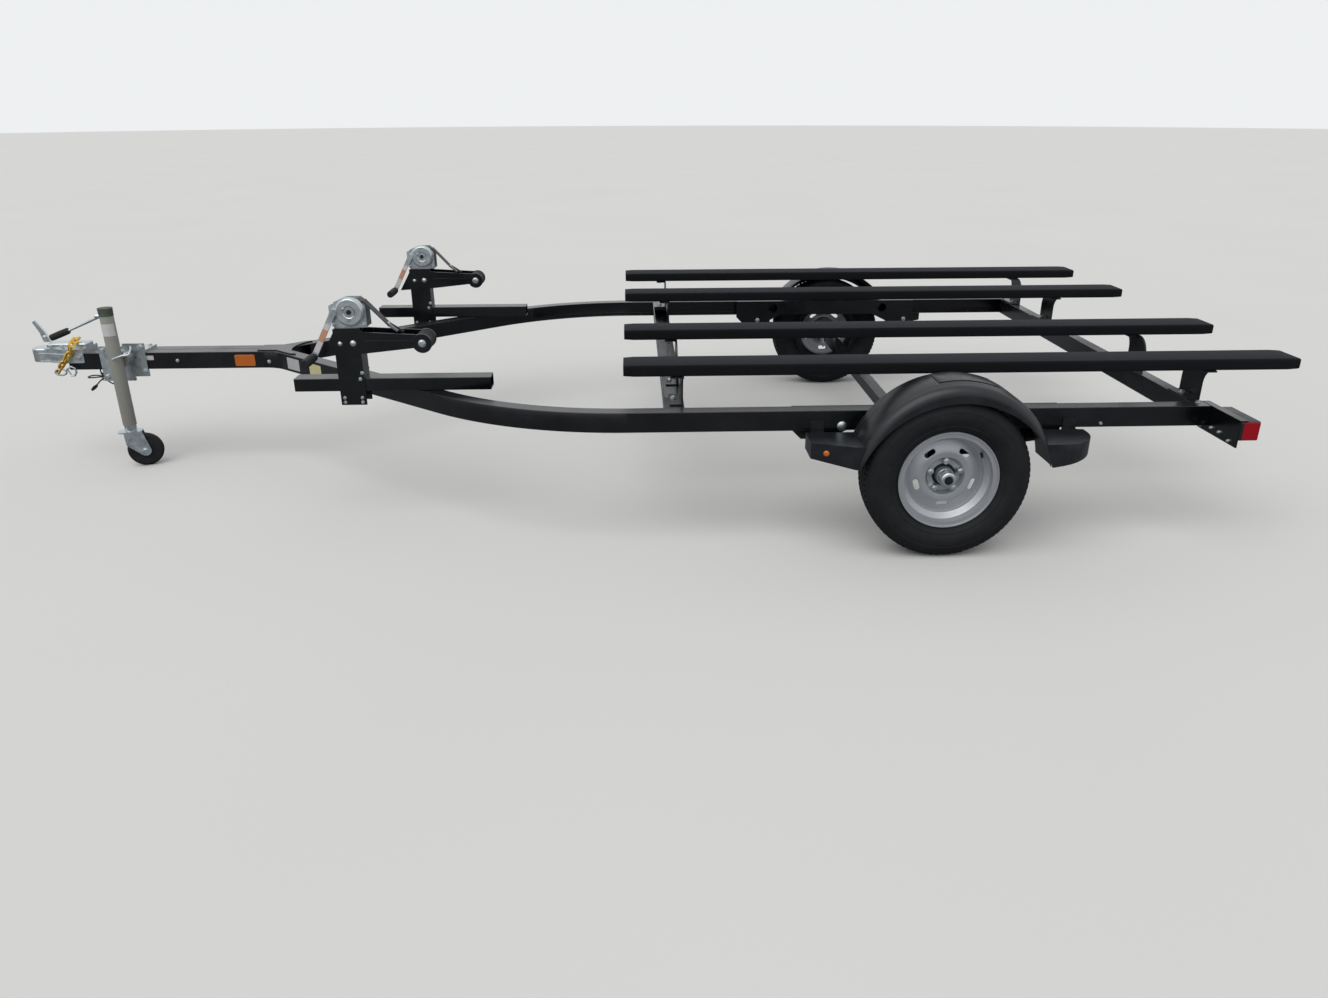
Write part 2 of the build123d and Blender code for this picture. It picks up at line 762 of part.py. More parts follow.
# Winches: a base, two frame plates, a drum and a round gear cover; crank and strap are their own pieces
winch_x = post_x + 25.0
winch_z = 825.0
winch_cover_r = 54.0
crank_x = post_x - 34.0
crank_reach = 92.0
crank_drop = 169.0
frame_in = 32.0
strap_top = winch_z + 36.5
strap_end_z = winch_z - 62.0
strap_thick = 3.5
for side, hand in sides:
    line_y = hand * machine_y
    crank_y = line_y - 57
    with BuildPart() as winch:
        with Locations((station(post_x + 20), line_y, head_top + 2)):
            Box(120, 2 * frame_in + 6, 4)
        for cheek in (-1, 1):
            cheek_y = line_y + cheek * (frame_in + 1.5)
            with BuildSketch(Plane.XZ.offset(-cheek_y - 1.5)):
                with BuildLine():
                    Polyline(
                        (station(post_x - 43), head_top),
                        (station(post_x + 83), head_top),
                        (station(post_x + 83), winch_z + 20),
                        (station(post_x + 55), winch_z + 46),
                        (station(post_x), winch_z + 46),
                        (station(post_x - 55), winch_z + 22),
                        (station(post_x - 55), winch_z - 22),
                        close=True,
                    )
                make_face()
            extrude(amount=3)
        with Locations((station(winch_x), line_y, winch_z)):
            Cylinder(33, 2 * frame_in - 4, rotation=(90, 0, 0))
            Cylinder(9, 2 * frame_in + 14, rotation=(90, 0, 0))
        with Locations((station(winch_x), line_y - frame_in - 11, winch_z)):
            Cylinder(winch_cover_r, 16, rotation=(90, 0, 0))
        with Locations((station(crank_x), line_y - frame_in - 10, winch_z)):
            Cylinder(13, 20, rotation=(90, 0, 0))
    winch.part.label = f"winch_{side}"
    export_step(winch.part, f"parts/winch_{side}.step")

    with BuildPart() as crank:
        arm = Plane(
            origin=(station(crank_x), crank_y, winch_z),
            x_dir=(0, 1, 0),
            z_dir=(-crank_reach, 0, -crank_drop))
        with BuildSketch(arm):
            Rectangle(6, 22)
        extrude(amount=192)
        with Locations((station(crank_x), crank_y, winch_z)):
            Cylinder(14, 10, rotation=(90, 0, 0))
        with Locations((station(crank_x - crank_reach), crank_y - 62, winch_z - crank_drop)):
            Cylinder(15, 118, rotation=(90, 0, 0))
    crank.part.label = f"winch_crank_{side}"
    export_step(crank.part, f"parts/winch_crank_{side}.step")

    with BuildPart() as strap:
        with BuildSketch(Plane.XZ.offset(-line_y - 23)):
            with BuildLine():
                Polyline(
                    (station(winch_x + 4), strap_top),
                    (station(winch_x + 50), strap_top),
                    (station(winch_x + 140), strap_end_z),
                    (station(winch_x + 138), strap_end_z - 3),
                    (station(winch_x + 49), strap_top - strap_thick),
                    (station(winch_x + 4), strap_top - strap_thick),
                    close=True,
                )
            make_face()
        extrude(amount=46)
        with BuildSketch(Plane.XZ.offset(-line_y - 4)):
            with BuildLine():
                Polyline(
                    (station(winch_x + 130), strap_end_z + 8),
                    (station(winch_x + 138), strap_end_z + 11),
                    (station(winch_x + 190), strap_end_z - 23),
                    (station(winch_x + 184), strap_end_z - 30),
                    close=True,
                )
            make_face()
        extrude(amount=8)
    strap.part.label = f"winch_strap_{side}"
    export_step(strap.part, f"parts/winch_strap_{side}.step")

# Lamp brackets behind the rear crossmember and the tail lamps on them
lamp_out = overall_width / 2 - 22.0
lamp_in = lamp_out - 255.0
lamp_plate = 6.0
lamp_plate_low = 411.0
lamp_lip = 28.0
lamp_lip_t = 4.0
lamp_depth = 64.0
lamp_width = 192.0
lamp_low = 437.0
lamp_high = 508.0
for side, hand in sides:
    lamp_y = hand * (lamp_in + lamp_out) / 2
    with BuildPart() as lamp_bracket:
        with Locations((station(rail_rear + lamp_plate / 2), lamp_y, (lamp_plate_low + lamp_high) / 2)):
            Box(lamp_plate, lamp_out - lamp_in, lamp_high - lamp_plate_low)
        with Locations((station(rail_rear + lamp_lip / 2), lamp_y, lamp_high + lamp_lip_t / 2)):
            Box(lamp_lip, lamp_out - lamp_in, lamp_lip_t)
    lamp_bracket.part.label = f"lamp_bracket_{side}"
    export_step(lamp_bracket.part, f"parts/lamp_bracket_{side}.step")

    with BuildPart() as lamp:
        lamp_x = rail_rear + lamp_plate + 2 + lamp_depth / 2
        lamp_mid_y = hand * (lamp_out - lamp_width / 2)
        with Locations((station(lamp_x), lamp_mid_y, (lamp_low + lamp_high) / 2)):
            Box(lamp_depth + 4, lamp_width, lamp_high - lamp_low)
        fillet(lamp.edges().filter_by(Axis.X), radius=8)
    lamp.part.label = f"tail_lamp_{side}"
    export_step(lamp.part, f"parts/tail_lamp_{side}.step")

# Coupler: stamped body with a hollow ball socket, open below, sitting on the tongue's front end
socket_x = nose + 43.0
sleeve_rear = nose + 255.0
socket_z = 492.0
ball_r = 25.4
socket_r = ball_r + 0.4
stamped_r = 8.0
with BuildPart() as coupler:
    with BuildSketch(Plane.XY.offset(468)):
        with BuildLine():
            Polyline(
                (station(sleeve_rear), 68),
                (station(nose + 169), 68),
                (station(nose + 79), 43),
                (station(socket_x), 43),
            )
            ThreePointArc((station(socket_x), 43), (station(nose), 0), (station(socket_x), -43))
            Polyline(
                (station(socket_x), -43),
                (station(nose + 79), -43),
                (station(nose + 169), -68),
                (station(sleeve_rear), -68),
                (station(sleeve_rear), 68),
            )
        make_face()
    extrude(amount=61)
    top_edges = coupler.edges().group_by(Axis.Z)[-1]
    fillet(top_edges.filter_by_position(Axis.X, station(nose) - 1, station(nose + 80)), radius=stamped_r)
    with Locations((station(nose + 169), 0, 529)):
        Box(172, 70, 44)
    fillet(coupler.edges().group_by(Axis.Z)[-1], radius=stamped_r)
    with Locations((station(socket_x), 0, socket_z)):
        Sphere(socket_r, mode=Mode.SUBTRACT)
    with Locations((station(socket_x), 0, (socket_z + 460) / 2)):
        Cylinder(socket_r, socket_z - 460, mode=Mode.SUBTRACT)
    with Locations((station(tongue_front + 60), 0, (rail_bottom + rail_top) / 2)):
        Box(120 + seat_gap, 2 * tongue_half, rail_height, mode=Mode.SUBTRACT)
coupler.part.label = "coupler"
export_step(coupler.part, "parts/coupler.step")

with BuildPart() as latch:
    with BuildSketch(Plane.XZ.offset(-6)):
        with BuildLine():
            Polyline(
                (station(nose + 57), 551),
                (station(nose + 89), 551),
                (station(nose + 69), 600),
                (station(nose + 37), 650),
                (station(nose + 24), 645),
                (station(nose + 47), 596),
                close=True,
            )
        make_face()
    extrude(amount=12)
latch.part.label = "coupler_latch"
export_step(latch.part, "parts/coupler_latch.step")

# Safety chain: plain links laid over the coupler and down its left side to a hook under the tongue
chain_wire = 4.0
link_out = (22.0, 13.0)
link_in = (14.0, 5.0)
link_corner = 8.0
# behind the nose, across, height, the link's own direction, turn about that direction
chain_links = [
    (213.0, -13.0, 564.0, 0.0, -1.0, 0.0, 45),
    (213.0, -39.0, 563.0, 0.0, -0.94, -0.34, -45),
    (212.0, -63.5, 552.0, -0.05, -0.8, -0.6, 45),
    (208.0, -83.0, 532.0, -0.25, -0.3, -0.92, -45),
    (196.0, -84.0, 507.0, -0.6, 0.0, -0.8, 45),
    (178.0, -84.0, 486.0, -0.65, 0.0, -0.76, -45),
    (160.0, -84.0, 465.0, -0.65, 0.0, -0.76, 45),
    (143.0, -84.0, 443.0, -0.6, 0.0, -0.8, -45),
]
with BuildPart() as chain:
    for behind, y, z, ax, ay, az, twist in chain_links:
        lie = Plane(
            origin=(station(nose + behind), y, z),
            x_dir=(ax, ay, az),
            z_dir=(az, 0, -ax) if ax else (0, az, -ay))
        lie = Plane(lie.location * Location((0, 0, 0), (twist, 0, 0)))
        with BuildSketch(lie) as link:
            Rectangle(2 * link_out[0], 2 * link_out[1])
            chamfer(link.vertices(), link_corner)
            Rectangle(2 * link_in[0], 2 * link_in[1], mode=Mode.SUBTRACT)
        extrude(amount=chain_wire, both=True)
chain.part.label = "safety_chain"
export_step(chain.part, "parts/safety_chain.step")

# Jack mount: clamp plates on the tongue's left face and the pivot the jack swings on
pivot_r = 12.0
boss_r = 34.0
mount_face = -tongue_half
mount_t = 10.0
mount_middle = mount_face - mount_t / 2
boss_rear = jack_y + 36.0
bracket_front = jack_x - 110.0
bracket_rear = jack_x + 30.0
bracket_low = 384.0
bracket_high = 544.0
clamp_rear = jack_x + 95.0
clamp_low = 404.0
clamp_high = 556.0
cap_front = jack_x - 60.0
cap_rear = jack_x + 85.0
cap_t = 8.0
with BuildPart() as jack_mount:
    bracket_x = station((bracket_front + bracket_rear) / 2)
    with Locations((bracket_x, mount_middle, (bracket_low + bracket_high) / 2)):
        Box(bracket_rear - bracket_front, mount_t, bracket_high - bracket_low)
    with Locations((station((jack_x + clamp_rear) / 2), mount_middle, (clamp_low + clamp_high) / 2)):
        Box(clamp_rear - jack_x, mount_t, clamp_high - clamp_low)
    with Locations((station((cap_front + cap_rear) / 2), 0, rail_top + cap_t / 2)):
        Box(cap_rear - cap_front, 2 * (tongue_half + mount_t), cap_t)
    with Locations((station(jack_x), (mount_face + boss_rear) / 2, jack_pivot_z)):
        Cylinder(boss_r, mount_face - boss_rear, rotation=(90, 0, 0))
    with Locations((station(jack_x), boss_rear - 5, jack_pivot_z)):
        Cylinder(pivot_r, 10, rotation=(90, 0, 0))
jack_mount.part.label = "jack_mount"
export_step(jack_mount.part, "parts/jack_mount.step")

# Jack: outer tube with its swivel plate, crank, inner leg, caster fork and caster wheel
with BuildPart() as jack_tube:
    with Locations((station(jack_x), jack_y, (jack_tube_bottom + jack_top) / 2)):
        Cylinder(jack_tube_r, jack_top - jack_tube_bottom)
    with Locations((station(jack_x), jack_y + 30, jack_pivot_z)):
        Cylinder(40, 11, rotation=(90, 0, 0))
    with Locations((station(jack_x), jack_y + 31, jack_pivot_z)):
        Cylinder(pivot_r + turn_gap, 12, rotation=(90, 0, 0), mode=Mode.SUBTRACT)
    with Locations((station(jack_x), jack_y, (jack_tube_bottom + jack_top) / 2 - 20)):
        Cylinder(jack_leg_r + slide_gap, jack_top - jack_tube_bottom + 2 - 30, mode=Mode.SUBTRACT)
jack_tube.part.label = "jack_tube"
export_step(jack_tube.part, "parts/jack_tube.step")

crank_shaft_z = 697.0
rod_reach = 141.0
rod_drop = 58.0
with BuildPart() as jack_crank:
    with Locations((station(jack_x), jack_y, jack_top + 1)):
        Cylinder(30, 2)
    with Locations((station(jack_x - 34), jack_y, crank_shaft_z)):
        Cylinder(11, 26, rotation=(0, 90, 0))
    with Locations((station(jack_x), jack_y, crank_shaft_z)):
        Cylinder(jack_tube_r, 40, mode=Mode.SUBTRACT)
    rod = Plane(origin=(station(jack_x - 37), jack_y, 692), z_dir=(-rod_reach, 0, -rod_drop))
    with BuildSketch(rod):
        Circle(6)
    extrude(amount=sqrt(rod_reach ** 2 + rod_drop ** 2) + 2)
    grip = Plane(origin=(station(jack_x - 37 - rod_reach), jack_y, 692 - rod_drop), z_dir=(-80, 0, -31))
    with BuildSketch(grip):
        Circle(13)
    extrude(amount=86)
jack_crank.part.label = "jack_crank"
export_step(jack_crank.part, "parts/jack_crank.step")

with BuildPart() as jack_leg:
    with Locations((station(jack_x), jack_y, (jack_fork_top + 470) / 2)):
        Cylinder(jack_leg_r, 470 - jack_fork_top)
        Cylinder(jack_leg_r - 3, 470 - jack_fork_top + 2, mode=Mode.SUBTRACT)
    with Locations((station(jack_x), jack_y, jack_fork_top + 12)):
        Cylinder(jack_leg_r, 24)
jack_leg.part.label = "jack_leg"
export_step(jack_leg.part, "parts/jack_leg.step")

caster_x = station(jack_x) + caster_trail * cos(radians(caster_turn))
caster_y = jack_y + caster_trail * sin(radians(caster_turn))
caster_width = 36.0
fork_in = caster_width / 2 + 5.5
caster_pin_r = 7.0
caster_corner = 8.0
fork_t = 5.0
cheek_front = 32.0
cheek_rear = 44.0
cheek_tip_r = 25.0
cheek_tip_front = (caster_trail - 20, caster_r - 15)
cheek_tip_rear = (caster_trail + 24, caster_r + 7)
fork_frame = Plane(
    origin=(station(jack_x), jack_y, 0),
    x_dir=(cos(radians(caster_turn)), sin(radians(caster_turn)), 0),
    z_dir=(0, 0, 1))
with BuildPart() as fork:
    with BuildSketch(fork_frame.offset(jack_fork_top - fork_t)):
        with Locations((-4, 0)):
            RectangleRounded(100, 2 * fork_in + 2 * fork_t, 18)
    extrude(amount=fork_t)
    for cheek in (-1, 1):
        with BuildSketch(Plane(
            origin=fork_frame.from_local_coords((0, cheek * (fork_in + fork_t / 2) + fork_t / 2, 0)),
            x_dir=fork_frame.x_dir,
            z_dir=-fork_frame.y_dir,
        )):
            with BuildLine():
                Polyline(
                    cheek_tip_rear,
                    (cheek_rear, jack_fork_top - fork_t / 2),
                    (-cheek_front, jack_fork_top - fork_t / 2),
                    (-cheek_front + 4, caster_r + cheek_front),
                    cheek_tip_front,
                )
                RadiusArc(cheek_tip_front, cheek_tip_rear, -cheek_tip_r)
            make_face()
        extrude(amount=fork_t)
    pin_plane = Plane(
        origin=fork_frame.from_local_coords((caster_trail, -fork_in - 8, caster_r)),
        z_dir=fork_frame.y_dir)
    with BuildSketch(pin_plane):
        Circle(caster_pin_r)
    extrude(amount=2 * fork_in + 16)
fork.part.label = "jack_fork"
export_step(fork.part, "parts/jack_fork.step")

wheel_plane = Plane(
    origin=fork_frame.from_local_coords((caster_trail, -caster_width / 2, caster_r)),
    z_dir=fork_frame.y_dir)
with BuildPart() as caster:
    with BuildSketch(Plane(origin=wheel_plane.origin, x_dir=wheel_plane.x_dir, z_dir=-wheel_plane.y_dir)):
        with BuildLine():
            Polyline(
                (caster_pin_r + turn_gap, 0),
                (caster_r - caster_corner, 0),
                (caster_r, caster_corner),
                (caster_r, caster_width - caster_corner),
                (caster_r - caster_corner, caster_width),
                (caster_pin_r + turn_gap, caster_width),
                close=True,
            )
        make_face()
    revolve(axis=Axis(wheel_plane.origin, wheel_plane.z_dir))
caster.part.label = "jack_wheel"
export_step(caster.part, "parts/jack_wheel.step")

# Wiring harness: a cable drops out of the tongue into a tied hank of three loops, and ends in a plug
cable_r = 3.0
hank_x = nose + 289.0
drop_x = hank_x - 10.0
hank_top = 397.0
hank_half_width = 29.0
hank_outline = [
    (-12, hank_top),
    (12, hank_top),
    (74, 395),
    (75, 382),
    (30, 379),
    (70, 349),
    (63, 338),
    (6, 371),
    (-8, 371),
    (-38, 342),
    (-46, 350),
    (-18, 378),
    (-75, 380),
    (-74, 394),
]
with BuildPart() as drop:
    with Locations((station(drop_x), 0, (rail_bottom + hank_top) / 2)):
        Cylinder(cable_r, rail_bottom - hank_top)
drop.part.label = "harness_drop"
export_step(drop.part, "parts/harness_drop.step")

with BuildPart() as hank:
    with BuildSketch(Plane.XZ):
        with BuildLine():
            Polyline(*[(station(hank_x + along), z) for along, z in hank_outline], close=True)
        make_face()
    extrude(amount=hank_half_width, both=True)
hank.part.label = "harness_hank"
export_step(hank.part, "parts/harness_hank.step")

plug_plane = Plane(
    origin=(station(hank_x - 42), 0, 346),
    x_dir=(0, 1, 0),
    z_dir=(-1, 0, -1))
with BuildPart() as plug:
    with BuildSketch(plug_plane):
        Rectangle(10, 8)
    extrude(amount=7)
    with BuildSketch(plug_plane.offset(7)):
        RectangleRounded(26, 11, 2.5)
    extrude(amount=27)
plug.part.label = "harness_plug"
export_step(plug.part, "parts/harness_plug.step")
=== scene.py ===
import math
import bmesh
import bpy
from mathutils import Matrix, Vector


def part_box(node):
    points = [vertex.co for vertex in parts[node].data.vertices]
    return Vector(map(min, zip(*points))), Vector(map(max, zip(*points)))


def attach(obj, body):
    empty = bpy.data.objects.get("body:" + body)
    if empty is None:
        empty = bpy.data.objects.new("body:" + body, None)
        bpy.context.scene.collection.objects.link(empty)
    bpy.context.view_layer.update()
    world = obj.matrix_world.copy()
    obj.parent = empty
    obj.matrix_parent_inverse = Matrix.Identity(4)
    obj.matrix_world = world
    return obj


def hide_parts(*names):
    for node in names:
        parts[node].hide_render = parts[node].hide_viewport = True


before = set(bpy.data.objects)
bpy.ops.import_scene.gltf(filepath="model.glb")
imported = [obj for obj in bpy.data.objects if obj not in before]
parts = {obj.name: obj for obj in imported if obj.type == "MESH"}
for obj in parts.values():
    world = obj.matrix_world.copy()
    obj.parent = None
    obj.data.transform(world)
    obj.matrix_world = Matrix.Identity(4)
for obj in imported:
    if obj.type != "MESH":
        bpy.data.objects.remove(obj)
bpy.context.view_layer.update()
scene = bpy.context.scene

# Viewpoint of the photograph: a wide lens at head height, level, beside the left side of the trailer
# and looking a little down at it.
lens = bpy.data.cameras.new("viewpoint")
lens.sensor_width = 36.0
lens.lens = 26.57
viewpoint = bpy.data.objects.new("viewpoint", lens)
viewpoint.location = (0.1525, -4.507, 1.574)
viewpoint.rotation_euler = (math.radians(67.75), math.radians(0.18), math.radians(-1.83))
scene.collection.objects.link(viewpoint)
scene.camera = viewpoint
scene.view_settings.view_transform = "Standard"


def colour(code):
    """An sRGB hex colour as linear red, green, blue and full cover."""
    levels = [int(code[i:i + 2], 16) / 255 for i in (1, 3, 5)]
    return [c / 12.92 if c <= 0.04045 else ((c + 0.055) / 1.055) ** 2.4 for c in levels] + [1.0]


def node(tree, kind, sockets=None, **settings):
    """Adds a shader node with its settings, its sockets' values and the links into them."""
    made = tree.nodes.new("ShaderNode" + kind)
    for name, value in settings.items():
        setattr(made, name, value)
    for name, value in (sockets or {}).items():
        if isinstance(value, bpy.types.NodeSocket):
            tree.links.new(value, made.inputs[name])
        else:
            made.inputs[name].default_value = value
    return made


# Sky and floor: an overcast day is one large soft light from above, and the trailer stands on a plain
# pale floor that fades into a pale background.
sky = bpy.data.worlds.new("overcast")
scene.world = sky
sky.use_nodes = True
sky_tree = sky.node_tree
sky_tree.nodes.clear()
path = node(sky_tree, "LightPath")
camera_ray, glossy_ray = path.outputs["Is Camera Ray"], path.outputs["Is Glossy Ray"]
seen = node(sky_tree, "Math", {0: camera_ray, 1: glossy_ray}, operation="MAXIMUM")
light_part = node(sky_tree, "Background", {"Color": colour("#f4f6fa"), "Strength": 0.62})
seen_part = node(sky_tree, "Background", {"Color": colour("#eef0f2"), "Strength": 1.0})
either = node(sky_tree, "MixShader", {0: seen.outputs[0], 1: light_part.outputs[0], 2: seen_part.outputs[0]})
node(sky_tree, "OutputWorld", {0: either.outputs[0]})

cloud = bpy.data.lights.new("bright_cloud", "SUN")
cloud.energy = 1.3
cloud.angle = math.radians(60)
cloud_place = bpy.data.objects.new("bright_cloud", cloud)
cloud_place.rotation_euler = (math.radians(28), math.radians(-18), 0)
scene.collection.objects.link(cloud_place)


def finish(name, sockets):
    """A new finish with its Principled shader's own sockets set, as material, node tree and shader."""
    made = bpy.data.materials.new(name)
    made.use_nodes = True
    shader = made.node_tree.nodes["Principled BSDF"]
    for socket, value in sockets.items():
        shader.inputs[socket].default_value = value
    return made, made.node_tree, shader


def feed(tree, shader, outputs):
    """Links each output into the shader's socket of that name."""
    for socket, output in outputs.items():
        tree.links.new(output, shader.inputs[socket])


def studio_floor():
    """Smooth painted floor: plain and pale to the eye, and as dull as dry ground to the trailer."""
    made, tree, shader = finish("studio_floor", {"Roughness": 0.9, "Specular IOR Level": 0.1})
    where = node(tree, "NewGeometry").outputs["Position"]
    cloudy = node(tree, "TexNoise", {"Vector": where, "Scale": 0.6, "Detail": 1.0})
    pale = node(tree, "Mix", {0: cloudy.outputs[0], 6: colour("#dcdbd7"), 7: colour("#e0dfdb")},
                data_type="RGBA")
    seen_floor = node(tree, "LightPath").outputs["Is Camera Ray"]
    tint = node(tree, "Mix", {0: seen_floor, 6: colour("#84878b"), 7: pale.outputs[2]}, data_type="RGBA")
    feed(tree, shader, {"Base Color": tint.outputs[2]})
    return made


floor_form = bmesh.new()
bmesh.ops.create_circle(floor_form, cap_ends=True, segments=64, radius=60.0)
floor_mesh = bpy.data.meshes.new("floor")
floor_form.to_mesh(floor_mesh)
floor_form.free()
floor_mesh.materials.append(studio_floor())
floor = bpy.data.objects.new("floor", floor_mesh)
floor.location = (0, 0, -0.0005)
scene.collection.objects.link(floor)

# Wiring harness: a four-wire cable in a black sleeve comes out under the tongue, is folded into three
# loops that a cable tie holds, and ends in a flat moulded plug.
mm = 0.001
axle_x = 1.2725
cable = 6 * mm
hank_x = axle_x - 3.580


def at(x, y, z):
    """A point from millimetres: behind the axle, to the right of the middle, above the ground."""
    return Vector((axle_x + x * mm, y * mm, z * mm))


# behind the middle of the hank, to the right, above the ground
harness_route = [
    (-10, 0, 435), (-10, 0, 422), (-10, 0, 408), (-9, 0, 395), (6, 1, 389),
    (24, 12, 389), (44, 24, 389), (62, 19, 388), (68, 6, 388), (68, -8, 388), (61, -20, 388), (44, -25, 388),
    (22, -16, 388), (0, -8, 387),
    (-24, -16, 387), (-44, -25, 387), (-62, -20, 386), (-69, -7, 386), (-69, 7, 386), (-62, 20, 386),
    (-44, 25, 386), (-22, 16, 385), (0, 8, 383),
    (16, 14, 377), (31, 24, 367), (48, 20, 355), (56, 6, 349), (56, -8, 349), (48, -21, 355), (31, -24, 367),
    (14, -11, 376), (0, -1, 379), (-12, 0, 373), (-24, 0, 363), (-36, 0, 351), (-42, 0, 346),
]


def cable_sleeve():
    """Extruded PVC sleeve: deep black with a soft shine and faint rings from handling."""
    made, tree, shader = finish("black_pvc_sleeve", {"Base Color": colour("#121214"), "Roughness": 0.42})
    where = node(tree, "TexCoord").outputs["Object"]
    grain = node(tree, "TexNoise", {"Vector": where, "Scale": 1000 / 2.5, "Detail": 3.0})
    rough = node(tree, "MapRange", {0: grain.outputs[0], 3: 0.34, 4: 0.52})
    relief = node(tree, "Bump", {"Strength": 0.2, "Distance": 0.2 * mm, "Height": grain.outputs[0]})
    feed(tree, shader, {"Roughness": rough.outputs[0], "Normal": relief.outputs[0]})
    return made


black_pvc = cable_sleeve()
harness_line = bpy.data.curves.new("harness_cable", "CURVE")
harness_line.dimensions = "3D"
harness_line.bevel_depth = cable / 2
harness_line.bevel_resolution = 4
harness_line.resolution_u = 12
harness_line.use_fill_caps = True
harness_run = harness_line.splines.new("NURBS")
harness_run.points.add(len(harness_route) - 1)
for point, (along, across, height) in zip(harness_run.points, harness_route):
    point.co = (hank_x + along * mm, across * mm, height * mm, 1.0)
harness_run.order_u = 3
harness_run.use_endpoint_u = True
harness_line.materials.append(black_pvc)
harness = bpy.data.objects.new("harness_cable", harness_line)
scene.collection.objects.link(harness)
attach(harness, "trailer")
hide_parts("harness_drop", "harness_hank")


def skin(form, sections, closed=True, capped=True):
    """Joins a row of like sections into a surface and caps its two ends."""
    rows = [[form.verts.new(point) for point in section] for section in sections]
    count = len(rows[0])
    for near, far in zip(rows, rows[1:]):
        for i in range(count if closed else count - 1):
            j = (i + 1) % count
            form.faces.new((near[i], near[j], far[j], far[i]))
    if capped:
        form.faces.new(rows[0][::-1])
        form.faces.new(rows[-1])


def show(name, form, coat, body, edge=0.0, sharp=38):
    """Makes a piece of a finished form: coated, edges rounded by so many millimetres, on its body."""
    bmesh.ops.remove_doubles(form, verts=form.verts, dist=0.000004)
    bmesh.ops.recalc_face_normals(form, faces=form.faces)
    mesh = bpy.data.meshes.new(name)
    form.to_mesh(mesh)
    form.free()
    mesh.materials.append(coat)
    mesh.shade_smooth()
    mesh.set_sharp_from_angle(angle=math.radians(sharp))
    piece = bpy.data.objects.new(name, mesh)
    scene.collection.objects.link(piece)
    if edge:
        rounding = piece.modifiers.new("rounded_edges", "BEVEL")
        rounding.width = edge * mm
        rounding.segments = 3
        rounding.limit_method = "ANGLE"
        rounding.angle_limit = math.radians(38)
        rounding.harden_normals = True
    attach(piece, body)
    return piece


def slab(form, outline, place, across, up, thickness):
    """A flat plate: an outline in millimetres on two directions at a place, thickened behind it."""
    across, up = Vector(across).normalized(), Vector(up).normalized()
    depth = across.cross(up) * thickness * mm
    face = [place + across * a * mm + up * b * mm for a, b in outline]
    skin(form, [face, [point - depth for point in face]])


plug_form = bmesh.new()
plug_place = Vector((hank_x - 42 * mm, 0, 346 * mm))
plug_out = Vector((-1, 0, -1)).normalized()
plug_up = Vector((-1, 0, 1)).normalized()
plug_steps = [(0, 8, 10, 8), (7, 20, 26, 11), (26, 7, 24, 9)]
plug_ribs = [(start, 1.6, 26.8, 11.8) for start in (11, 15, 19)]
for start, length, width, height in plug_steps + plug_ribs:
    middle = plug_place + plug_out * start * mm
    right, top = width / 2, height / 2
    box = [(-right, -top), (right, -top), (right, top), (-right, top)]
    slab(plug_form, box, middle, (0, 1, 0), plug_up, length)
plug = show("harness_plug_body", plug_form, black_pvc, "trailer", edge=0.8)
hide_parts("harness_plug")

tie_form = bmesh.new()
tie_outline = [(-13, 12), (-9, 17), (9, 17), (13, 12), (14, -9), (9, -14), (-9, -14), (-14, -9)]
tie_place = Vector((hank_x - 3 * mm, 0, 382.5 * mm))
outer_loop = [tie_place + Vector((0, a * mm, b * mm)) for a, b in tie_outline]
inner_loop = [tie_place + Vector((0, a * mm * 0.88, b * mm * 0.88)) for a, b in tie_outline]
tie_width = Vector((5 * mm, 0, 0))
outer_far, inner_far = [p + tie_width for p in outer_loop], [p + tie_width for p in inner_loop]
skin(tie_form, [outer_loop, outer_far, inner_far, inner_loop, outer_loop], capped=False)
tie_head = [(-4, -3), (4, -3), (4, 3), (-4, 3)]
slab(tie_form, tie_head, tie_place + Vector((-2 * mm, 0, 17 * mm)), (1, 0, 0), (0, 1, 0), -5)
tie_tail = [(-1.5, 0), (1.5, 0), (1.5, 16), (-1.5, 16)]
slab(tie_form, tie_tail, tie_place + Vector((1 * mm, 3 * mm, 19 * mm)), (1, 0, 0), (0, 0.8, 0.6), 1.2)
harness_tie = show("harness_tie", tie_form, black_pvc, "trailer", edge=0.4)


# Frame rails: two channels formed from 5 mm steel, bent to the tongue, welded and powder coated black.
# The coat is baked on in an oven and leaves a satin skin with a fine orange peel.
def powder_coat():
    """Baked black powder coat: satin, with a fine orange peel and a breath of road dust."""
    made, tree, shader = finish("black_powder_coat", {"Specular IOR Level": 0.5})
    where = node(tree, "TexCoord").outputs["Object"]
    peel = node(tree, "TexNoise", {"Vector": where, "Scale": 1000 / 4, "Detail": 2.0})
    dust = node(tree, "TexNoise", {"Vector": where, "Scale": 1000 / 140, "Detail": 6.0, "Roughness": 0.62})
    streak = node(tree, "MapRange", {0: dust.outputs[0], 1: 0.35, 2: 0.75})
    dark, dusty = colour("#050608"), colour("#111417")
    shade = node(tree, "Mix", {0: streak.outputs[0], 6: dark, 7: dusty}, data_type="RGBA")
    rough = node(tree, "MapRange", {0: dust.outputs[0], 1: 0.3, 2: 0.7, 3: 0.17, 4: 0.3})
    relief = node(tree, "Bump", {"Strength": 0.12, "Distance": 0.15 * mm, "Height": peel.outputs[0]})
    feed(tree, shader, {
        "Base Color": shade.outputs[2],
        "Roughness": rough.outputs[0],
        "Normal": relief.outputs[0],
    })
    return made


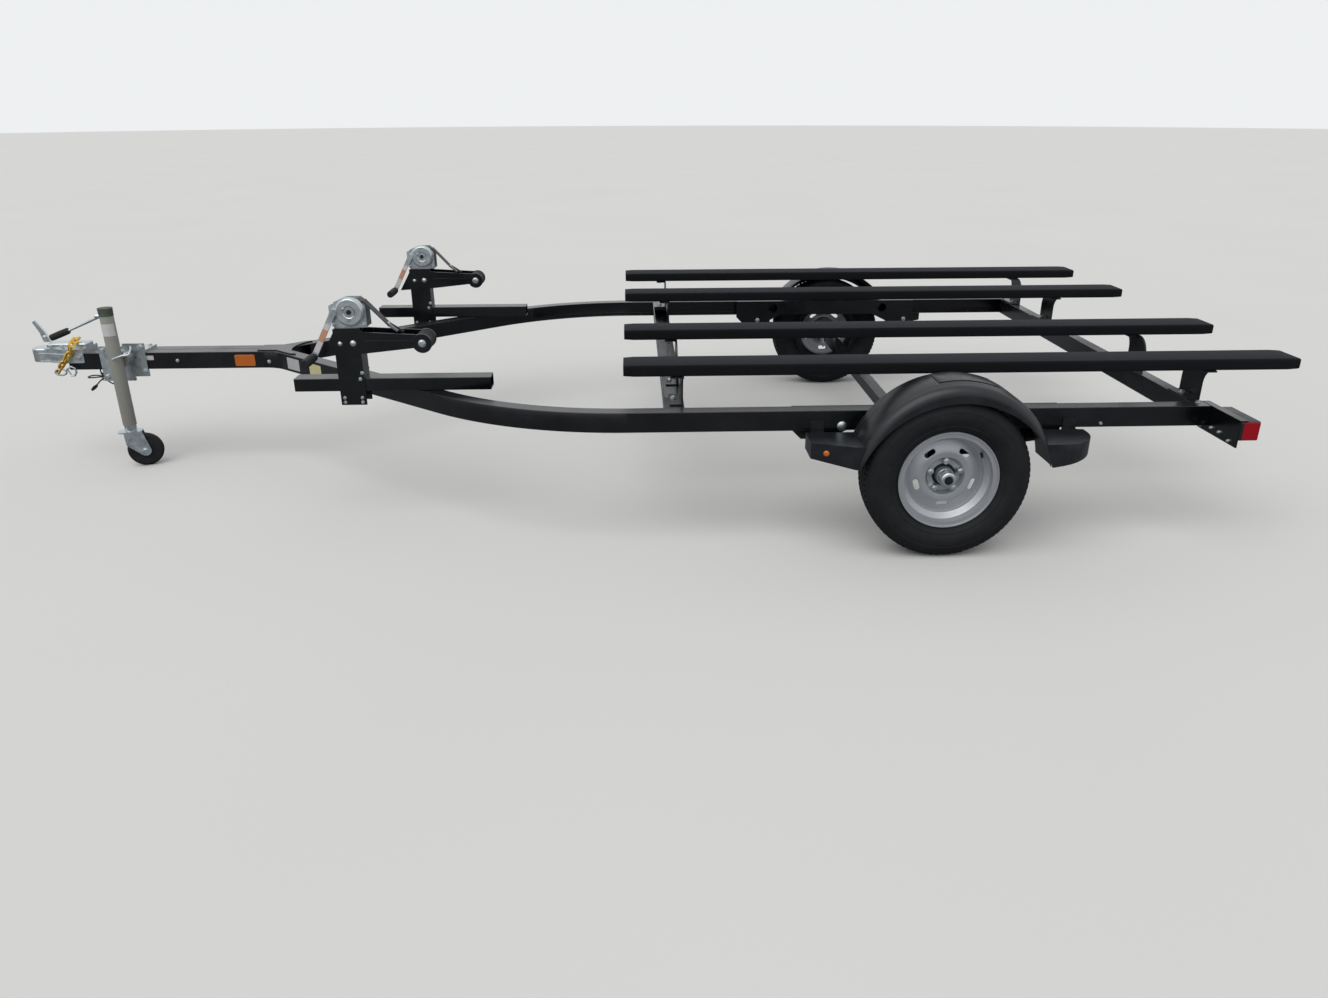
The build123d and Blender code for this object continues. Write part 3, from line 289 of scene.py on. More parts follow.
def dress(name, coat, edge=0.0):
    """A piece that keeps its shape gets its finish, and its edges a small radius in millimetres."""
    piece = parts[name]
    piece.data.materials.clear()
    piece.data.materials.append(coat)
    if edge:
        joined = piece.modifiers.new("joined", "WELD")
        joined.merge_threshold = 0.02 * mm
        rounding = piece.modifiers.new("rounded_edges", "BEVEL")
        rounding.width = edge * mm
        rounding.segments = 3
        rounding.limit_method = "ANGLE"
        rounding.angle_limit = math.radians(40)
        rounding.harden_normals = True
    return piece


black_coat = powder_coat()
sides = [("left", -1), ("right", 1)]
for side, hand in sides:
    dress(f"rail_{side}", black_coat, 2.4)
    dress(f"tongue_liner_{side}", black_coat, 1.0)
for name in ("tongue_gusset", "crossmember_front", "crossmember_rear"):
    dress(name, black_coat, 2.0)


# Frame bolts: zinc plated hexagon bolts and carriage bolts with washers, driven in after coating.
def zinc_plate():
    """Bright zinc plating on steel: cool silver, cloudy where the passivation varies."""
    made, tree, shader = finish("bright_zinc_plate", {"Metallic": 1.0})
    where = node(tree, "TexCoord").outputs["Object"]
    cloudy = node(tree, "TexNoise", {"Vector": where, "Scale": 1000 / 25, "Detail": 5.0, "Roughness": 0.6})
    grain = node(tree, "TexNoise", {"Vector": where, "Scale": 1000 / 1.5, "Detail": 2.0})
    shade = node(tree, "Mix", {0: cloudy.outputs[0], 6: colour("#a9b2b5"), 7: colour("#d9dfdf")},
                 data_type="RGBA")
    rough = node(tree, "MapRange", {0: cloudy.outputs[0], 1: 0.3, 2: 0.7, 3: 0.24, 4: 0.46})
    relief = node(tree, "Bump", {"Strength": 0.1, "Distance": 0.1 * mm, "Height": grain.outputs[0]})
    feed(tree, shader, {
        "Base Color": shade.outputs[2],
        "Roughness": rough.outputs[0],
        "Normal": relief.outputs[0],
    })
    return made


def turned(form, place, along, outline, steps=32, turn=0.0):
    """A turned shape: distance and radius pairs in millimetres, about a direction from a place."""
    aim = Matrix.Translation(place) @ Vector(along).to_track_quat("Z", "Y").to_matrix().to_4x4()
    angles = [turn + 2 * math.pi * i / steps for i in range(steps)]
    sections = [
        [aim @ Vector((r * mm * math.cos(a), r * mm * math.sin(a), d * mm)) for a in angles]
        for d, r in outline
    ]
    skin(form, sections)


def bolt(form, place, along, across=16.0, domed=False):
    """A bolt head on its washer, seen from outside: hexagonal, or domed as on a carriage bolt."""
    half = across / 2
    turned(form, place, along, [(-1, half * 1.36), (1.4, half * 1.36), (1.8, half * 1.3)], 28)
    if domed:
        dome = [(1, half * 1.25), (2.4, half * 1.2), (4.6, half * 0.95), (6, half * 0.5), (6.4, 0.3)]
        turned(form, place, along, dome, 28)
    else:
        turned(form, place, along, [(1, half * 1.15), (7, half * 1.15), (8.2, half * 0.96)], 6)


bright_zinc = zinc_plate()
rail_z = 473.0
rail_outer = 1080.0
frame_bolts = bmesh.new()
for side, hand in sides:
    bolt(frame_bolts, at(-359, hand * (rail_outer + 6), 454), (0, hand, 0), 26, True)
    for x in (-173, 229, 610):
        bolt(frame_bolts, at(x, hand * rail_outer, 450), (0, hand, 0), 9)
    bolt(frame_bolts, at(990, hand * 1032, 511), (0, 0, 1), 13)
    bolt(frame_bolts, at(-3200, hand * 63.5, rail_z), (0, hand, 0), 12)
    bolt(frame_bolts, at(-2787, hand * 66, 464), (0, hand, 0), 13)
show("frame_bolts", frame_bolts, bright_zinc, "trailer", sharp=30)


# Reflectors and blank labels on the tongue: an amber prismatic plate, and stickers left bare.
def amber_lens():
    """Moulded acrylic reflector: deep amber, glossy, with small prisms behind its face."""
    made, tree, shader = finish("amber_acrylic", {
        "Roughness": 0.16, "Coat Weight": 0.6, "Coat Roughness": 0.06})
    where = node(tree, "TexCoord").outputs["Object"]
    prisms = node(tree, "TexVoronoi", {"Vector": where, "Scale": 1000 / 3.2, "Randomness": 0.0})
    shade = node(tree, "Mix", {0: prisms.outputs[0], 6: colour("#e07a18"), 7: colour("#b4560c")},
                 data_type="RGBA")
    relief = node(tree, "Bump", {"Strength": 0.35, "Distance": 0.4 * mm, "Height": prisms.outputs[0]})
    feed(tree, shader, {"Base Color": shade.outputs[2], "Normal": relief.outputs[0]})
    return made


def vinyl(name, code):
    """Printed vinyl left blank: flat colour with slight yellowing and a soft satin face."""
    made, tree, shader = finish(name, {"Roughness": 0.38, "Specular IOR Level": 0.45})
    where = node(tree, "TexCoord").outputs["Object"]
    age = node(tree, "TexNoise", {"Vector": where, "Scale": 1000 / 18, "Detail": 4.0})
    base = colour(code)
    worn = [0.82 * base[0], 0.8 * base[1], 0.74 * base[2], 1.0]
    shade = node(tree, "Mix", {0: age.outputs[0], 6: base, 7: worn}, data_type="RGBA")
    feed(tree, shader, {"Base Color": shade.outputs[2]})
    return made


def rounded(width, height, corner, steps=5):
    """Outline of a plate with round corners, in millimetres about its middle."""
    outline = []
    for turn, (sx, sy) in enumerate(((1, 1), (-1, 1), (-1, -1), (1, -1))):
        for step in range(steps + 1):
            a = math.pi / 2 * (turn + step / steps)
            x, y = sx * (width / 2 - corner), sy * (height / 2 - corner)
            outline.append((x + corner * math.cos(a), y + corner * math.sin(a)))
    return outline


amber = amber_lens()
reflector = bmesh.new()
for side, hand in sides:
    across = (1, 0, 0) if hand < 0 else (-1, 0, 0)
    slab(reflector, rounded(91, 52, 6), at(-2895, hand * 68.5, 471), across, (0, 0, 1), 5)
show("tongue_reflectors", reflector, amber, "trailer", edge=1.2)

silver_label = vinyl("silver_vinyl", "#c3c6c8")
yellow_label = vinyl("pale_yellow_vinyl", "#d9d3a0")
white_label = vinyl("white_vinyl", "#e4e1e0")
orange_label = vinyl("pale_orange_vinyl", "#dba383")
diagonal = math.radians(40.5)
along_rail = Vector((math.cos(diagonal), -math.sin(diagonal), 0))


def on_diagonal(distance, z):
    """A point on the outer face of the left diagonal rail, by its distance behind the front bend."""
    return at(-2715 + distance * math.cos(diagonal), -99.4 - distance * math.sin(diagonal), z) + Vector(
        (-math.sin(diagonal), -math.cos(diagonal), 0)) * 0.4 * mm


diagonal_labels = [("data_label", silver_label, 40, 95), ("capacity_label", yellow_label, 215, 88)]
for name, coat, start, length in diagonal_labels:
    label = bmesh.new()
    slab(label, rounded(length, 52, 3), on_diagonal(start + length / 2, rail_z), along_rail, (0, 0, 1), 0.4)
    show(name, label, coat, "trailer")

# Bunks: 2 by 6 boards wrapped in black marine carpet. The carpet is glued round, folded over at the
# ends like a parcel and stapled underneath.
def marine_carpet():
    """Needle-punched polyester carpet: matt black, fuzzy, with small loops that catch the light."""
    made, tree, shader = finish("black_marine_carpet", {
        "Roughness": 0.95, "Specular IOR Level": 0.2, "Sheen Weight": 0.35, "Sheen Roughness": 0.5,
        "Sheen Tint": colour("#6a6f78")})
    where = node(tree, "TexCoord").outputs["Object"]
    loops = node(tree, "TexVoronoi", {"Vector": where, "Scale": 1000 / 2.6})
    fuzz = node(tree, "TexNoise", {"Vector": where, "Scale": 1000 / 6, "Detail": 5.0, "Roughness": 0.7})
    worn = node(tree, "TexNoise", {"Vector": where, "Scale": 1000 / 160, "Detail": 4.0})
    mixed = node(tree, "Math", {0: loops.outputs[0], 1: fuzz.outputs[0]}, operation="MULTIPLY")
    shade = node(tree, "Mix", {0: mixed.outputs[0], 6: colour("#060608"), 7: colour("#1b1c1f")},
                 data_type="RGBA")
    faded = node(tree, "MapRange", {0: worn.outputs[0], 1: 0.4, 2: 0.8, 4: 0.5})
    shade = node(tree, "Mix", {0: faded.outputs[0], 6: shade.outputs[2], 7: colour("#16171a")},
                 data_type="RGBA")
    relief = node(tree, "Bump", {"Strength": 0.8, "Distance": 1.2 * mm, "Height": mixed.outputs[0]})
    feed(tree, shader, {"Base Color": shade.outputs[2], "Normal": relief.outputs[0]})
    return made


carpet = marine_carpet()
bunk_sections = 64
for place in ("left_outer", "left_inner", "right_inner", "right_outer"):
    low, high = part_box(f"bunk_{place}")
    middle = (low + high) / 2
    half_y, half_z = (high.y - low.y) / 2 / mm, (high.z - low.z) / 2 / mm
    board = bmesh.new()
    sections = []
    for step in range(bunk_sections + 1):
        share = step / bunk_sections
        x = low.x + (high.x - low.x) * share
        from_end = min(x - low.x, high.x - x) / mm
        tuck = 2.2 * math.exp(-from_end / 9)
        swell = 0.35 * math.sin(17 * share + half_y) + 0.25 * math.sin(41 * share)
        outline = rounded(2 * (half_y - 0.8 - tuck) + swell, 2 * (half_z - 0.8 - tuck), 8.5, 4)
        sections.append([Vector((x, middle.y + a * mm, middle.z + b * mm)) for a, b in outline])
    skin(board, sections)
    for end_x, outward in ((low.x, -1), (high.x, 1)):
        for hand in (-1, 1):
            edge_y = hand * (half_y - 6)
            fold = [(edge_y, half_z - 5), (hand * 14, -half_z + 8), (edge_y, -half_z + 6)]
            fold = fold if hand * outward > 0 else fold[::-1]
            fold_place = Vector((end_x - outward * 0.4 * mm, middle.y, middle.z))
            slab(board, fold, fold_place, (0, 1, 0), (0, 0, 1), outward * 1.6)
    piece = show(f"bunk_carpet_{place}", board, carpet, "trailer")
    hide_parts(f"bunk_{place}")

staple_count = 22
staples = bmesh.new()
for place in ("left_outer", "left_inner", "right_inner", "right_outer"):
    low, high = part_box(f"bunk_{place}")
    middle_y = (low.y + high.y) / 2
    for step in range(staple_count):
        x = low.x + 0.06 + (high.x - low.x - 0.12) * step / (staple_count - 1)
        for hand in (-1, 1):
            spot = Vector((x, middle_y + hand * 0.046, low.z + 0.0004))
            slab(staples, [(-5, -0.6), (5, -0.6), (5, 0.6), (-5, 0.6)], spot, (1, 0, 0), (0, 1, 0), 0.9)
show("carpet_staples", staples, bright_zinc, "trailer")

# Bunk brackets: curved plates cut from sheet, with a foot and a flange folded forward. They are coated
# with the frame, bolted to the crossmembers and lagged up into the boards.
for row in ("front", "rear"):
    dress(f"bunk_brackets_{row}", black_coat, 1.2)
bracket_bolts = bmesh.new()
machine_y = 705.0
for x, inner_seat in ((-974, 466), (992, 511)):
    for side, hand in sides:
        for lean, seat in ((hand, 511), (-hand, inner_seat)):
            foot_y = hand * machine_y + lean * 208
            bolt(bracket_bolts, at(x, foot_y, seat + 6), (0, 0, 1), 17)
            for reach in (262, 320):
                bolt(bracket_bolts, at(x, hand * machine_y + lean * reach, 635), (0, 0, -1), 11)
show("bracket_bolts", bracket_bolts, bright_zinc, "trailer", sharp=30)


# Axle, springs and hangers: a square tube axle under two leaf springs. The springs are black painted
# spring steel, held by U-bolts and nuts over a pressed plate.
def spring_paint():
    """Thin black paint on rolled spring leaves: duller than powder coat, brownish where it rubs."""
    made, tree, shader = finish("black_spring_paint", {"Specular IOR Level": 0.4})
    where = node(tree, "TexCoord").outputs["Object"]
    scale = node(tree, "TexNoise", {"Vector": where, "Scale": 1000 / 30, "Detail": 7.0, "Roughness": 0.7})
    rust = node(tree, "MapRange", {0: scale.outputs[0], 1: 0.58, 2: 0.72})
    shade = node(tree, "Mix", {0: rust.outputs[0], 6: colour("#17181a"), 7: colour("#33261e")},
                 data_type="RGBA")
    rough = node(tree, "MapRange", {0: scale.outputs[0], 3: 0.42, 4: 0.72})
    relief = node(tree, "Bump", {"Strength": 0.2, "Distance": 0.3 * mm, "Height": scale.outputs[0]})
    feed(tree, shader, {
        "Base Color": shade.outputs[2],
        "Roughness": rough.outputs[0],
        "Normal": relief.outputs[0],
    })
    return made


spring_black = spring_paint()
dress("axle_beam", black_coat, 3.0)
dress("spring_clamps", bright_zinc, 0.8)
for side, hand in sides:
    dress(f"hanger_{side}", black_coat, 1.2)
    dress(f"spring_{side}", spring_black, 0.8)

spring_bolts = bmesh.new()
spring_y = 1046.0
u_bolt_nut = [(0, 10.4), (9, 10.4), (10.5, 9)]
eye_nut = [(0, 13), (2, 13), (2, 11), (11, 11), (12.5, 9)]
for side, hand in sides:
    for x in (-31, 31):
        for y in (-28, 28):
            turned(spring_bolts, at(x, hand * spring_y + y, 270), (0, 0, -1), u_bolt_nut, 6)
    turned(spring_bolts, at(0, hand * spring_y, 358.5), (0, 0, 1), [(0, 7), (5, 7), (6.5, 5)], 20)
    for x in (-417, 417):
        bolt(spring_bolts, at(x, hand * 1080, 405), (0, hand, 0), 19)
        turned(spring_bolts, at(x, hand * 1011, 405), (0, -hand, 0), eye_nut, 6)
show("spring_bolts", spring_bolts, bright_zinc, "trailer", sharp=30)

clips = bmesh.new()
clip_z = 333
clip_side = [(-14, -4), (14, -4), (14, 34), (-14, 34)]
clip_base = [(-14, -26), (14, -26), (14, 26), (-14, 26)]
for side, hand in sides:
    for x in (-215, 215):
        for across in (-1, 1):
            clip_place = at(x, hand * spring_y + across * 24.5, clip_z)
            slab(clips, clip_side, clip_place, (1, 0, 0), (0, 0, 1), 2.6)
        slab(clips, clip_base, at(x, hand * spring_y, clip_z - 4), (1, 0, 0), (0, 1, 0), 2.6)
show("spring_clips", clips, spring_black, "trailer", edge=0.6)


# Hubs: cast iron hubs painted grey, with a pressed grease cap that has a rubber plug in the middle.
def cast_hub():
    """Grey painted casting: sandy surface and a low shine."""
    made, tree, shader = finish("grey_painted_casting", {"Metallic": 0.35})
    where = node(tree, "TexCoord").outputs["Object"]
    sand = node(tree, "TexNoise", {"Vector": where, "Scale": 1000 / 3, "Detail": 4.0})
    shade = node(tree, "Mix", {0: sand.outputs[0], 6: colour("#55585a"), 7: colour("#8b8f90")},
                 data_type="RGBA")
    relief = node(tree, "Bump", {"Strength": 0.4, "Distance": 0.4 * mm, "Height": sand.outputs[0]})
    shader.inputs["Roughness"].default_value = 0.55
    feed(tree, shader, {"Base Color": shade.outputs[2], "Normal": relief.outputs[0]})
    return made


def rubber(name, code, pale, grain_mm):
    """Moulded black rubber: matt, slightly mottled, paler where dust sits."""
    made, tree, shader = finish(name, {"Roughness": 0.72, "Specular IOR Level": 0.35})
    where = node(tree, "TexCoord").outputs["Object"]
    mottle = node(tree, "TexNoise", {"Vector": where, "Scale": 1000 / 45, "Detail": 6.0, "Roughness": 0.65})
    grain = node(tree, "TexNoise", {"Vector": where, "Scale": 1000 / grain_mm, "Detail": 3.0})
    dusty = node(tree, "MapRange", {0: mottle.outputs[0], 1: 0.38, 2: 0.78})
    shade = node(tree, "Mix", {0: dusty.outputs[0], 6: colour(code), 7: colour(pale)}, data_type="RGBA")
    relief = node(tree, "Bump", {"Strength": 0.25, "Distance": 0.3 * mm, "Height": grain.outputs[0]})
    feed(tree, shader, {"Base Color": shade.outputs[2], "Normal": relief.outputs[0]})
    return made


cast_grey = cast_hub()
tyre_rubber = rubber("tyre_rubber", "#0d0e10", "#1c1e21", 1.6)
wheel_y, wheel_z = 1196, 302
stud_circle = 57.15
cap_outline = [
    (26, 31.4), (30, 32.4), (34, 32.2), (36, 30.6), (52, 30.2), (54, 29), (64, 28.4), (68.6, 27.4), (71, 25),
    (72, 22), (72, 14)]
plug_outline = [(70.4, 16.4), (72.6, 16), (73.4, 14), (73.2, 6), (74, 5), (74, 0.5)]
# Painted shade: a flat black rubber ring round the grease cap, on the wheel's face, stands for the dark
# shade in the wheel's centre bore.
painted_bore_shade_ring = [(3, 31), (4.9, 31), (5.2, 33), (5.2, 41), (4.9, 42.5), (3, 43)]
for side, hand in sides:
    dress(f"hub_{side}", cast_grey, 1.0)
    cap = bmesh.new()
    out = (0, hand, 0)
    wheel_place = at(0, hand * wheel_y, wheel_z)
    turned(cap, wheel_place, out, cap_outline, 56)
    for stud in range(5):
        a = math.radians(90 + 72 * stud)
        place = at(stud_circle * math.cos(a), hand * wheel_y, wheel_z + stud_circle * math.sin(a))
        turned(cap, place, out, [(2, 15.4), (6, 15.2), (9, 13.2)], 24)
        turned(cap, place, out, [(6, 13.6), (23, 13.6), (25.4, 12.4), (26, 11)], 6, turn=a)
        turned(cap, place, out, [(24, 6), (28, 6), (29, 5)], 16)
    show(f"grease_cap_{side}", cap, bright_zinc, f"wheel_{side}", sharp=32)
    # This piece holds the rubber plug and also the black ring of painted shade round the cap.
    plug = bmesh.new()
    turned(plug, wheel_place, out, plug_outline, 36)
    turned(plug, wheel_place, out, painted_bore_shade_ring, 48)
    show(f"grease_plug_and_bore_shade_{side}", plug, tyre_rubber, f"wheel_{side}")


# Wheels: pressed steel discs welded into rolled rims and painted silver, each with five windows.
def silver_paint():
    """Silver wheel enamel: fine aluminium flake, cool in tone; the inner side stays dark primer."""
    made, tree, shader = finish("silver_wheel_enamel", {
        "Metallic": 0.55, "Coat Weight": 0.25, "Coat Roughness": 0.2})
    where = node(tree, "TexCoord").outputs["Object"]
    flake = node(tree, "TexVoronoi", {"Vector": where, "Scale": 1000 / 1.2})
    cloudy = node(tree, "TexNoise", {"Vector": where, "Scale": 1000 / 60, "Detail": 4.0})
    silver, flash, primer = colour("#9c9ea1"), colour("#c2c4c7"), colour("#161718")
    shade = node(tree, "Mix", {0: flake.outputs[0], 6: silver, 7: flash}, data_type="RGBA")
    sideways = node(tree, "SeparateXYZ", {0: where}).outputs["Y"]
    across = node(tree, "Math", {0: sideways}, operation="ABSOLUTE")
    outside = node(tree, "MapRange", {0: across.outputs[0], 1: 1.186, 2: 1.192})
    shade = node(tree, "Mix", {0: outside.outputs[0], 6: primer, 7: shade.outputs[2]}, data_type="RGBA")
    rough = node(tree, "MapRange", {0: cloudy.outputs[0], 3: 0.34, 4: 0.5})
    feed(tree, shader, {"Base Color": shade.outputs[2], "Roughness": rough.outputs[0]})
    return made


silver_enamel = silver_paint()
valve_outline = [(0, 7), (8, 6.4), (12, 4.4), (26, 4.2), (27, 5), (38, 5), (39, 4)]
valve_circle = 152
for side, hand in sides:
    dress(f"wheel_{side}", silver_enamel, 1.4)
    valve = bmesh.new()
    a = math.radians(36)
    place = at(valve_circle * math.cos(a), hand * (wheel_y + 20), wheel_z + valve_circle * math.sin(a))
    turned(valve, place, (-0.25 * math.cos(a), hand, -0.25 * math.sin(a)), valve_outline, 20)
    show(f"tyre_valve_{side}", valve, tyre_rubber, f"wheel_{side}")

# Tyres: ST175/80 trailer tyres. The sidewall is moulded with rings, and the tread has three grooves
# with notched ribs and shoulder blocks.
tyre_half = [
    (50, 165.5), (63.5, 165.5), (64.5, 172), (64, 180), (67, 186), (73, 194), (79, 204), (80.5, 206),
    (80, 208.5), (84, 216), (87.5, 228), (88.6, 238), (88.4, 250), (87, 256), (87.6, 258), (87, 261),
    (84, 268), (80, 277), (77.5, 282)]
tread_half = [
    (74, 288, 0.8), (68, 294, 2), (60, 298, 4), (49.5, 299.6, 5), (46.5, 299.8, 5), (46, 292.5, 0),
    (40, 292.5, 0), (39.5, 300.4, 0), (30, 301, 0), (20.5, 301.6, 0), (20, 293.5, 0), (14, 293.5, 0),
    (13.5, 301.8, 0), (5, 302, 0)]
blocks = 84
tyre_steps = blocks * 4
for side, hand in sides:
    tyre = bmesh.new()
    sections = []
    for step in range(tyre_steps + 1):
        a = 2 * math.pi * step / tyre_steps
        phase = step % 4
        half = []
        for across, radius in tyre_half:
            half.append((across, radius))
        for across, radius, shoulder in tread_half:
            notch = 0.0
            if phase == 0:
                notch = shoulder
            if not shoulder and phase == 2 and radius > 299:
                notch = 2.6
            half.append((across, radius - notch))
        whole = half + [(-across, radius) for across, radius in reversed(half)]
        sections.append([
            at(radius * math.sin(a), hand * (wheel_y + across), wheel_z + radius * math.cos(a))
            for across, radius in whole])
    skin(tyre, sections, closed=True, capped=False)
    piece = show(f"tyre_moulded_{side}", tyre, tyre_rubber, f"wheel_{side}", sharp=28)
    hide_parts(f"tyre_{side}")


# Fenders: moulded black polyethylene, an arched shell with a rounded flare and a step box at each end,
# bolted to steel arms on the rails. An amber marker lamp sits in the front step's outer face.
def moulded_plastic():
    """Moulded polyethylene: satin blue-black, with the fine grain of its mould and pale scuffs."""
    made, tree, shader = finish("black_polyethylene", {"Specular IOR Level": 0.5})
    where = node(tree, "TexCoord").outputs["Object"]
    grain = node(tree, "TexNoise", {"Vector": where, "Scale": 1000 / 2, "Detail": 4.0})
    scuff = node(tree, "TexNoise", {"Vector": where, "Scale": 1000 / 55, "Detail": 6.0, "Roughness": 0.6})
    pale = node(tree, "MapRange", {0: scuff.outputs[0], 1: 0.4, 2: 0.75})
    shade = node(tree, "Mix", {0: pale.outputs[0], 6: colour("#0f1216"), 7: colour("#1a1e23")},
                 data_type="RGBA")
    rough = node(tree, "MapRange", {0: scuff.outputs[0], 1: 0.3, 2: 0.7, 3: 0.3, 4: 0.42})
    relief = node(tree, "Bump", {"Strength": 0.15, "Distance": 0.2 * mm, "Height": grain.outputs[0]})
    feed(tree, shader, {
        "Base Color": shade.outputs[2],
        "Roughness": rough.outputs[0],
        "Normal": relief.outputs[0],
    })
    return made


black_plastic = moulded_plastic()
for side, hand in sides:
    dress(f"fender_{side}", black_plastic, 2.0)
markers = bmesh.new()
for side, hand in sides:
    slant = (-54, hand * 150, 0)
    marker_outline = [(0, 11), (1.4, 11), (3.4, 9.4), (4.8, 5.4), (5.2, 0.4)]
    turned(markers, at(-442, hand * 1243, 403), slant, marker_outline, 32)
show("side_markers", markers, amber, "trailer", sharp=50)


def arch_strip(form, hand, near_y, far_y, low_r, high_r, start, end, steps=14):
    """A strip that follows the fender's arch between two angles above the horizontal, front to rear."""
    sections = []
    for step in range(steps + 1):
        a = math.radians(start + (end - start) * step / steps)
        sections.append([
            at(15 + r * math.cos(a), hand * y, 300 + r * math.sin(a))
            for y, r in ((near_y, low_r), (near_y, high_r), (far_y, high_r), (far_y, low_r))])
    skin(form, sections)


for side, hand in sides:
    pocket = bmesh.new()
    arch_strip(pocket, hand, 1110, 1164, 357, 360.8, 137, 163)
    for y in (1119, 1141):
        arch_strip(pocket, hand, y, y + 9, 357, 365, 147, 162)
    show(f"fender_pocket_{side}", pocket, black_plastic, "trailer", edge=1.0)

# Support tubes, winch posts and heads: a rectangular tube across each diagonal rail, a folded post and
# two cheek plates that carry the bow roller. All are coated with the frame and bolted together.
for side, hand in sides:
    dress(f"support_tube_{side}", black_coat, 2.4)
    dress(f"winch_post_{side}", black_coat, 1.6)
    dress(f"winch_head_{side}", black_coat, 1.2)
post_bolts = bmesh.new()
post_x = -2225
roller_x, roller_z = post_x + 289, 701
cap_nut = [(-6, 15), (-4, 15), (-3.4, 13), (2, 12.4), (4, 10), (4.6, 1)]
for side, hand in sides:
    line_y = hand * machine_y
    for face in (-1, 1):
        for x, z, across in ((post_x - 25, 703, 13), (post_x + 25, 704, 17)):
            bolt(post_bolts, at(x, line_y + face * 48, z), (0, face, 0), across, True)
        for x, z in ((post_x + 35, 561), (post_x + 44, 585)):
            bolt(post_bolts, at(x, line_y + face * 43, z), (0, face, 0), 11)
        for x in (post_x - 34, post_x + 34):
            for z in (468, 486):
                bolt(post_bolts, at(x, line_y + face * 43, z), (0, face, 0), 10)
        turned(post_bolts, at(roller_x, line_y + face * 55, roller_z), (0, face, 0), cap_nut, 32)
show("post_bolts", post_bolts, bright_zinc, "trailer", sharp=30)
swages = bmesh.new()
boss = [(-5, 37.4), (2.2, 37.6), (3.2, 36.6), (3.2, 20), (2.6, 16)]
swage = [(-96, -4), (92, -3), (96, 0), (92, 3), (-96, 5)]
for side, hand in sides:
    for face in (-1, 1):
        boss_place = at(roller_x, hand * machine_y + face * 48, roller_z)
        turned(swages, boss_place, (0, face, 0), boss, 56)
        across = (1, 0, 0) if face < 0 else (-1, 0, 0)
        outline = swage if face < 0 else [(-a, b) for a, b in reversed(swage)]
        slab(swages, outline, at(post_x + 166, hand * machine_y + face * 49.6, 709), across, (0, 0, 1), 3)
show("head_swages", swages, black_coat, "trailer", edge=1.4)

# Bow rollers: solid black rubber, turned with a waist for the bow, on a steel pin.
roller_rubber = rubber("roller_rubber", "#101012", "#26272a", 2.2)
roller_outline = [
    (-39, 9), (-39, 30), (-37, 34.5), (-33, 36.6), (-20, 36.2), (-8, 34.4), (0, 33.8), (8, 34.4), (20, 36.2),
    (33, 36.6), (37, 34.5), (39, 30), (39, 9)]
for side, hand in sides:
    roller = bmesh.new()
    turned(roller, at(roller_x, hand * machine_y, roller_z), (0, 1, 0), roller_outline, 72)
    body = f"bow_roller_{side}"
    piece = show(f"bow_roller_rubber_{side}", roller, roller_rubber, body, sharp=30)
    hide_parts(f"bow_roller_{side}")


# Winches: zinc plated frame plates with a drum between them and a pressed round gear cover, a flat
# crank with a black grip, and a webbing strap with a forged hook.
def webbing():
    """Black polyester webbing: matt, with the ribs of its weave."""
    made, tree, shader = finish("black_webbing", {"Roughness": 0.85, "Sheen Weight": 0.2})
    where = node(tree, "TexCoord").outputs["Object"]
    weave = node(tree, "TexWave", {"Vector": where, "Scale": 1000 / 8},
                 wave_type="BANDS", bands_direction="Y")
    shade = node(tree, "Mix", {0: weave.outputs[1], 6: colour("#0e0e10"), 7: colour("#232427")},
                 data_type="RGBA")
    relief = node(tree, "Bump", {"Strength": 0.5, "Distance": 0.4 * mm, "Height": weave.outputs[1]})
    feed(tree, shader, {"Base Color": shade.outputs[2], "Normal": relief.outputs[0]})
    return made


